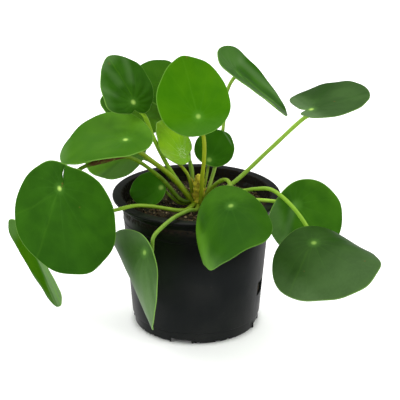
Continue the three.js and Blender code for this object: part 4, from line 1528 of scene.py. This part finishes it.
class PILEA_OT_blades(bpy.types.Operator):
    """Makes the round blades with their veins, swells, rounded margins and navels."""

    bl_idname = "pilea.blades"
    bl_label = "Blades"

    def execute(self, context):
        for leaf in LEAVES:
            node = leaf.name + "_blade"
            name = node.replace("leaf", "round")
            slot = "young_blade" if leaf.tone == YOUNG_TONE else "blade"
            points, faces, kept = blade_shape(leaf)
            skin = blade_finish(leaf, context.scene.pilea_blade)
            make_piece(name, points, faces, skin, slot, [node], kept)
        return {"FINISHED"}


# Camera: its place, how far it looks down, to the right and how far it leans in degrees, and its lens
CAMERA_PLACE = (3.81, -1048.2, 504.5)
CAMERA_DOWN = 21.47
CAMERA_RIGHT = -0.07
CAMERA_LEAN = 0.33
CAMERA_LENS = 142.03
CAMERA_SENSOR = 36

# Soft lights: name, place, the point that it faces, width and height in millimetres, and power
LIGHTS = (
    ("light_above", (-350, 250, 1300), (0, 0, 100), (2300, 2000), 16),
    ("light_left", (-1150, -150, 550), (0, 0, 80), (500, 1100), 5),
    ("light_right", (1100, -200, 750), (0, 0, 100), (350, 800), 6),
)

# The floor is a grid that glows outside the pot, between two radii in metres. The sweep behind the
# plant is bright between these shares of the room's depth and height.
FLOOR_POINTS = 13
GLOW_RADII = (44 * MM, 50 * MM)
SWEEP_DEPTH = (0.1, 0.95)
SWEEP_HEIGHT = (0.18, 0)


class PILEA_OT_stage(bpy.types.Operator):
    """Makes the pale floor, the soft lights and the camera."""

    bl_idname = "pilea.stage"
    bl_label = "Stage"

    def execute(self, context):
        settings = context.scene.pilea_stage
        self.floor(settings)
        self.lights(context.scene)
        self.room(context.scene, settings)
        self.camera(context.scene)
        context.scene.view_settings.view_transform = "Standard"
        return {"FINISHED"}

    def floor(self, settings):
        """Pale paper, lit a little from below outside the pot."""
        finish = Finish(bpy.data.materials.new("floor_paper"))
        grain = finish.noise(40, 3)
        colour = finish.mix(grain * 0.04, settings.floor, settings.grain)
        x, y, _ = finish.split(finish.place())
        glow = finish.mix(((x * x + y * y) ** 0.5).ramp(*GLOW_RADII), (0, 0, 0), (1, 1, 1))
        lit = {"Emission Color": glow, "Emission Strength": settings.floor_glow}
        paper = finish.surface(colour, grain * 0.05 + 0.8, grain, 0.1, 0.2, lit)
        half = settings.floor_size / 2 / MM
        steps = np.linspace(-half, half, FLOOR_POINTS)
        points = [(x, y, 0) for y in steps for x in steps]
        floor = make_piece("floor", points, net(FLOOR_POINTS, FLOOR_POINTS, closed=False), paper, None)
        floor.visible_glossy = False

    def lights(self, scene):
        """Large soft lights, each turned to face its aim."""
        for name, place, aim, size, power in LIGHTS:
            light = bpy.data.lights.new(name, "AREA")
            light.shape = "RECTANGLE"
            light.size, light.size_y = (side * MM for side in size)
            light.energy = power
            lamp = bpy.data.objects.new(name, light)
            lamp.location = Vector(place) * MM
            lamp.rotation_euler = (Vector(aim) - Vector(place)).to_track_quat("-Z", "Y").to_euler()
            scene.collection.objects.link(lamp)

    def room(self, scene, settings):
        """A room that is even all round, but as gloss shows it, bright only low down behind the plant."""
        world = bpy.data.worlds.new("studio")
        finish = Finish(world)
        _, depth, height = finish.split(finish.add("ShaderNodeTexCoord", {}, {}).outputs["Generated"])
        sweep = depth.ramp(*SWEEP_DEPTH) * height.ramp(*SWEEP_HEIGHT) * settings.sweep
        glossy = Value(finish, finish.add("ShaderNodeLightPath", {}, {}).outputs["Is Glossy Ray"])
        strength = glossy * (sweep + (settings.sheen - settings.air)) + settings.air
        light = finish.add("ShaderNodeBackground", {}, {"Color": rgba((1, 1, 1)), "Strength": strength})
        finish.add("ShaderNodeOutputWorld", {}, {"Surface": light.outputs["Background"]})
        scene.world = world

    def camera(self, scene):
        """The camera at the photograph's place and angle."""
        data = bpy.data.cameras.new("camera")
        data.sensor_width = CAMERA_SENSOR
        data.lens = CAMERA_LENS
        camera = bpy.data.objects.new("camera", data)
        turn = (
            Matrix.Rotation(math.radians(-CAMERA_RIGHT), 4, "Z")
            @ Matrix.Rotation(math.radians(90 - CAMERA_DOWN), 4, "X")
            @ Matrix.Rotation(math.radians(CAMERA_LEAN), 4, "Z")
        )
        camera.matrix_world = Matrix.Translation(Vector(CAMERA_PLACE) * MM) @ turn
        scene.collection.objects.link(camera)
        scene.camera = camera


class PILEA_PT_panel(bpy.types.Panel):
    """The plant's pieces, in the sidebar."""

    bl_idname = "PILEA_PT_panel"
    bl_label = "Potted pilea"
    bl_space_type = "VIEW_3D"
    bl_region_type = "UI"
    bl_category = "Pilea"

    def draw(self, context):
        for operator in OPERATORS:
            self.layout.operator(operator.bl_idname)


OPERATORS = (
    PILEA_OT_pot,
    PILEA_OT_soil,
    PILEA_OT_stem,
    PILEA_OT_stalks,
    PILEA_OT_blades,
    PILEA_OT_stage,
)
SETTINGS = {
    "pilea_pot": PotSettings,
    "pilea_soil": SoilSettings,
    "pilea_stem": StemSettings,
    "pilea_stalk": StalkSettings,
    "pilea_blade": BladeSettings,
    "pilea_stage": StageSettings,
}


def register():
    for shown in (*SETTINGS.values(), *OPERATORS, PILEA_PT_panel):
        bpy.utils.register_class(shown)
    for name, group in SETTINGS.items():
        setattr(bpy.types.Scene, name, PointerProperty(type=group))


def unregister():
    for name in SETTINGS:
        delattr(bpy.types.Scene, name)
    for shown in (PILEA_PT_panel, *reversed(OPERATORS), *SETTINGS.values()):
        bpy.utils.unregister_class(shown)


def main():
    register()
    bpy.ops.pilea.pot()
    bpy.ops.pilea.soil()
    bpy.ops.pilea.stem()
    bpy.ops.pilea.stalks()
    bpy.ops.pilea.blades()
    bpy.ops.pilea.stage()


if __name__ == "__main__":
    main()
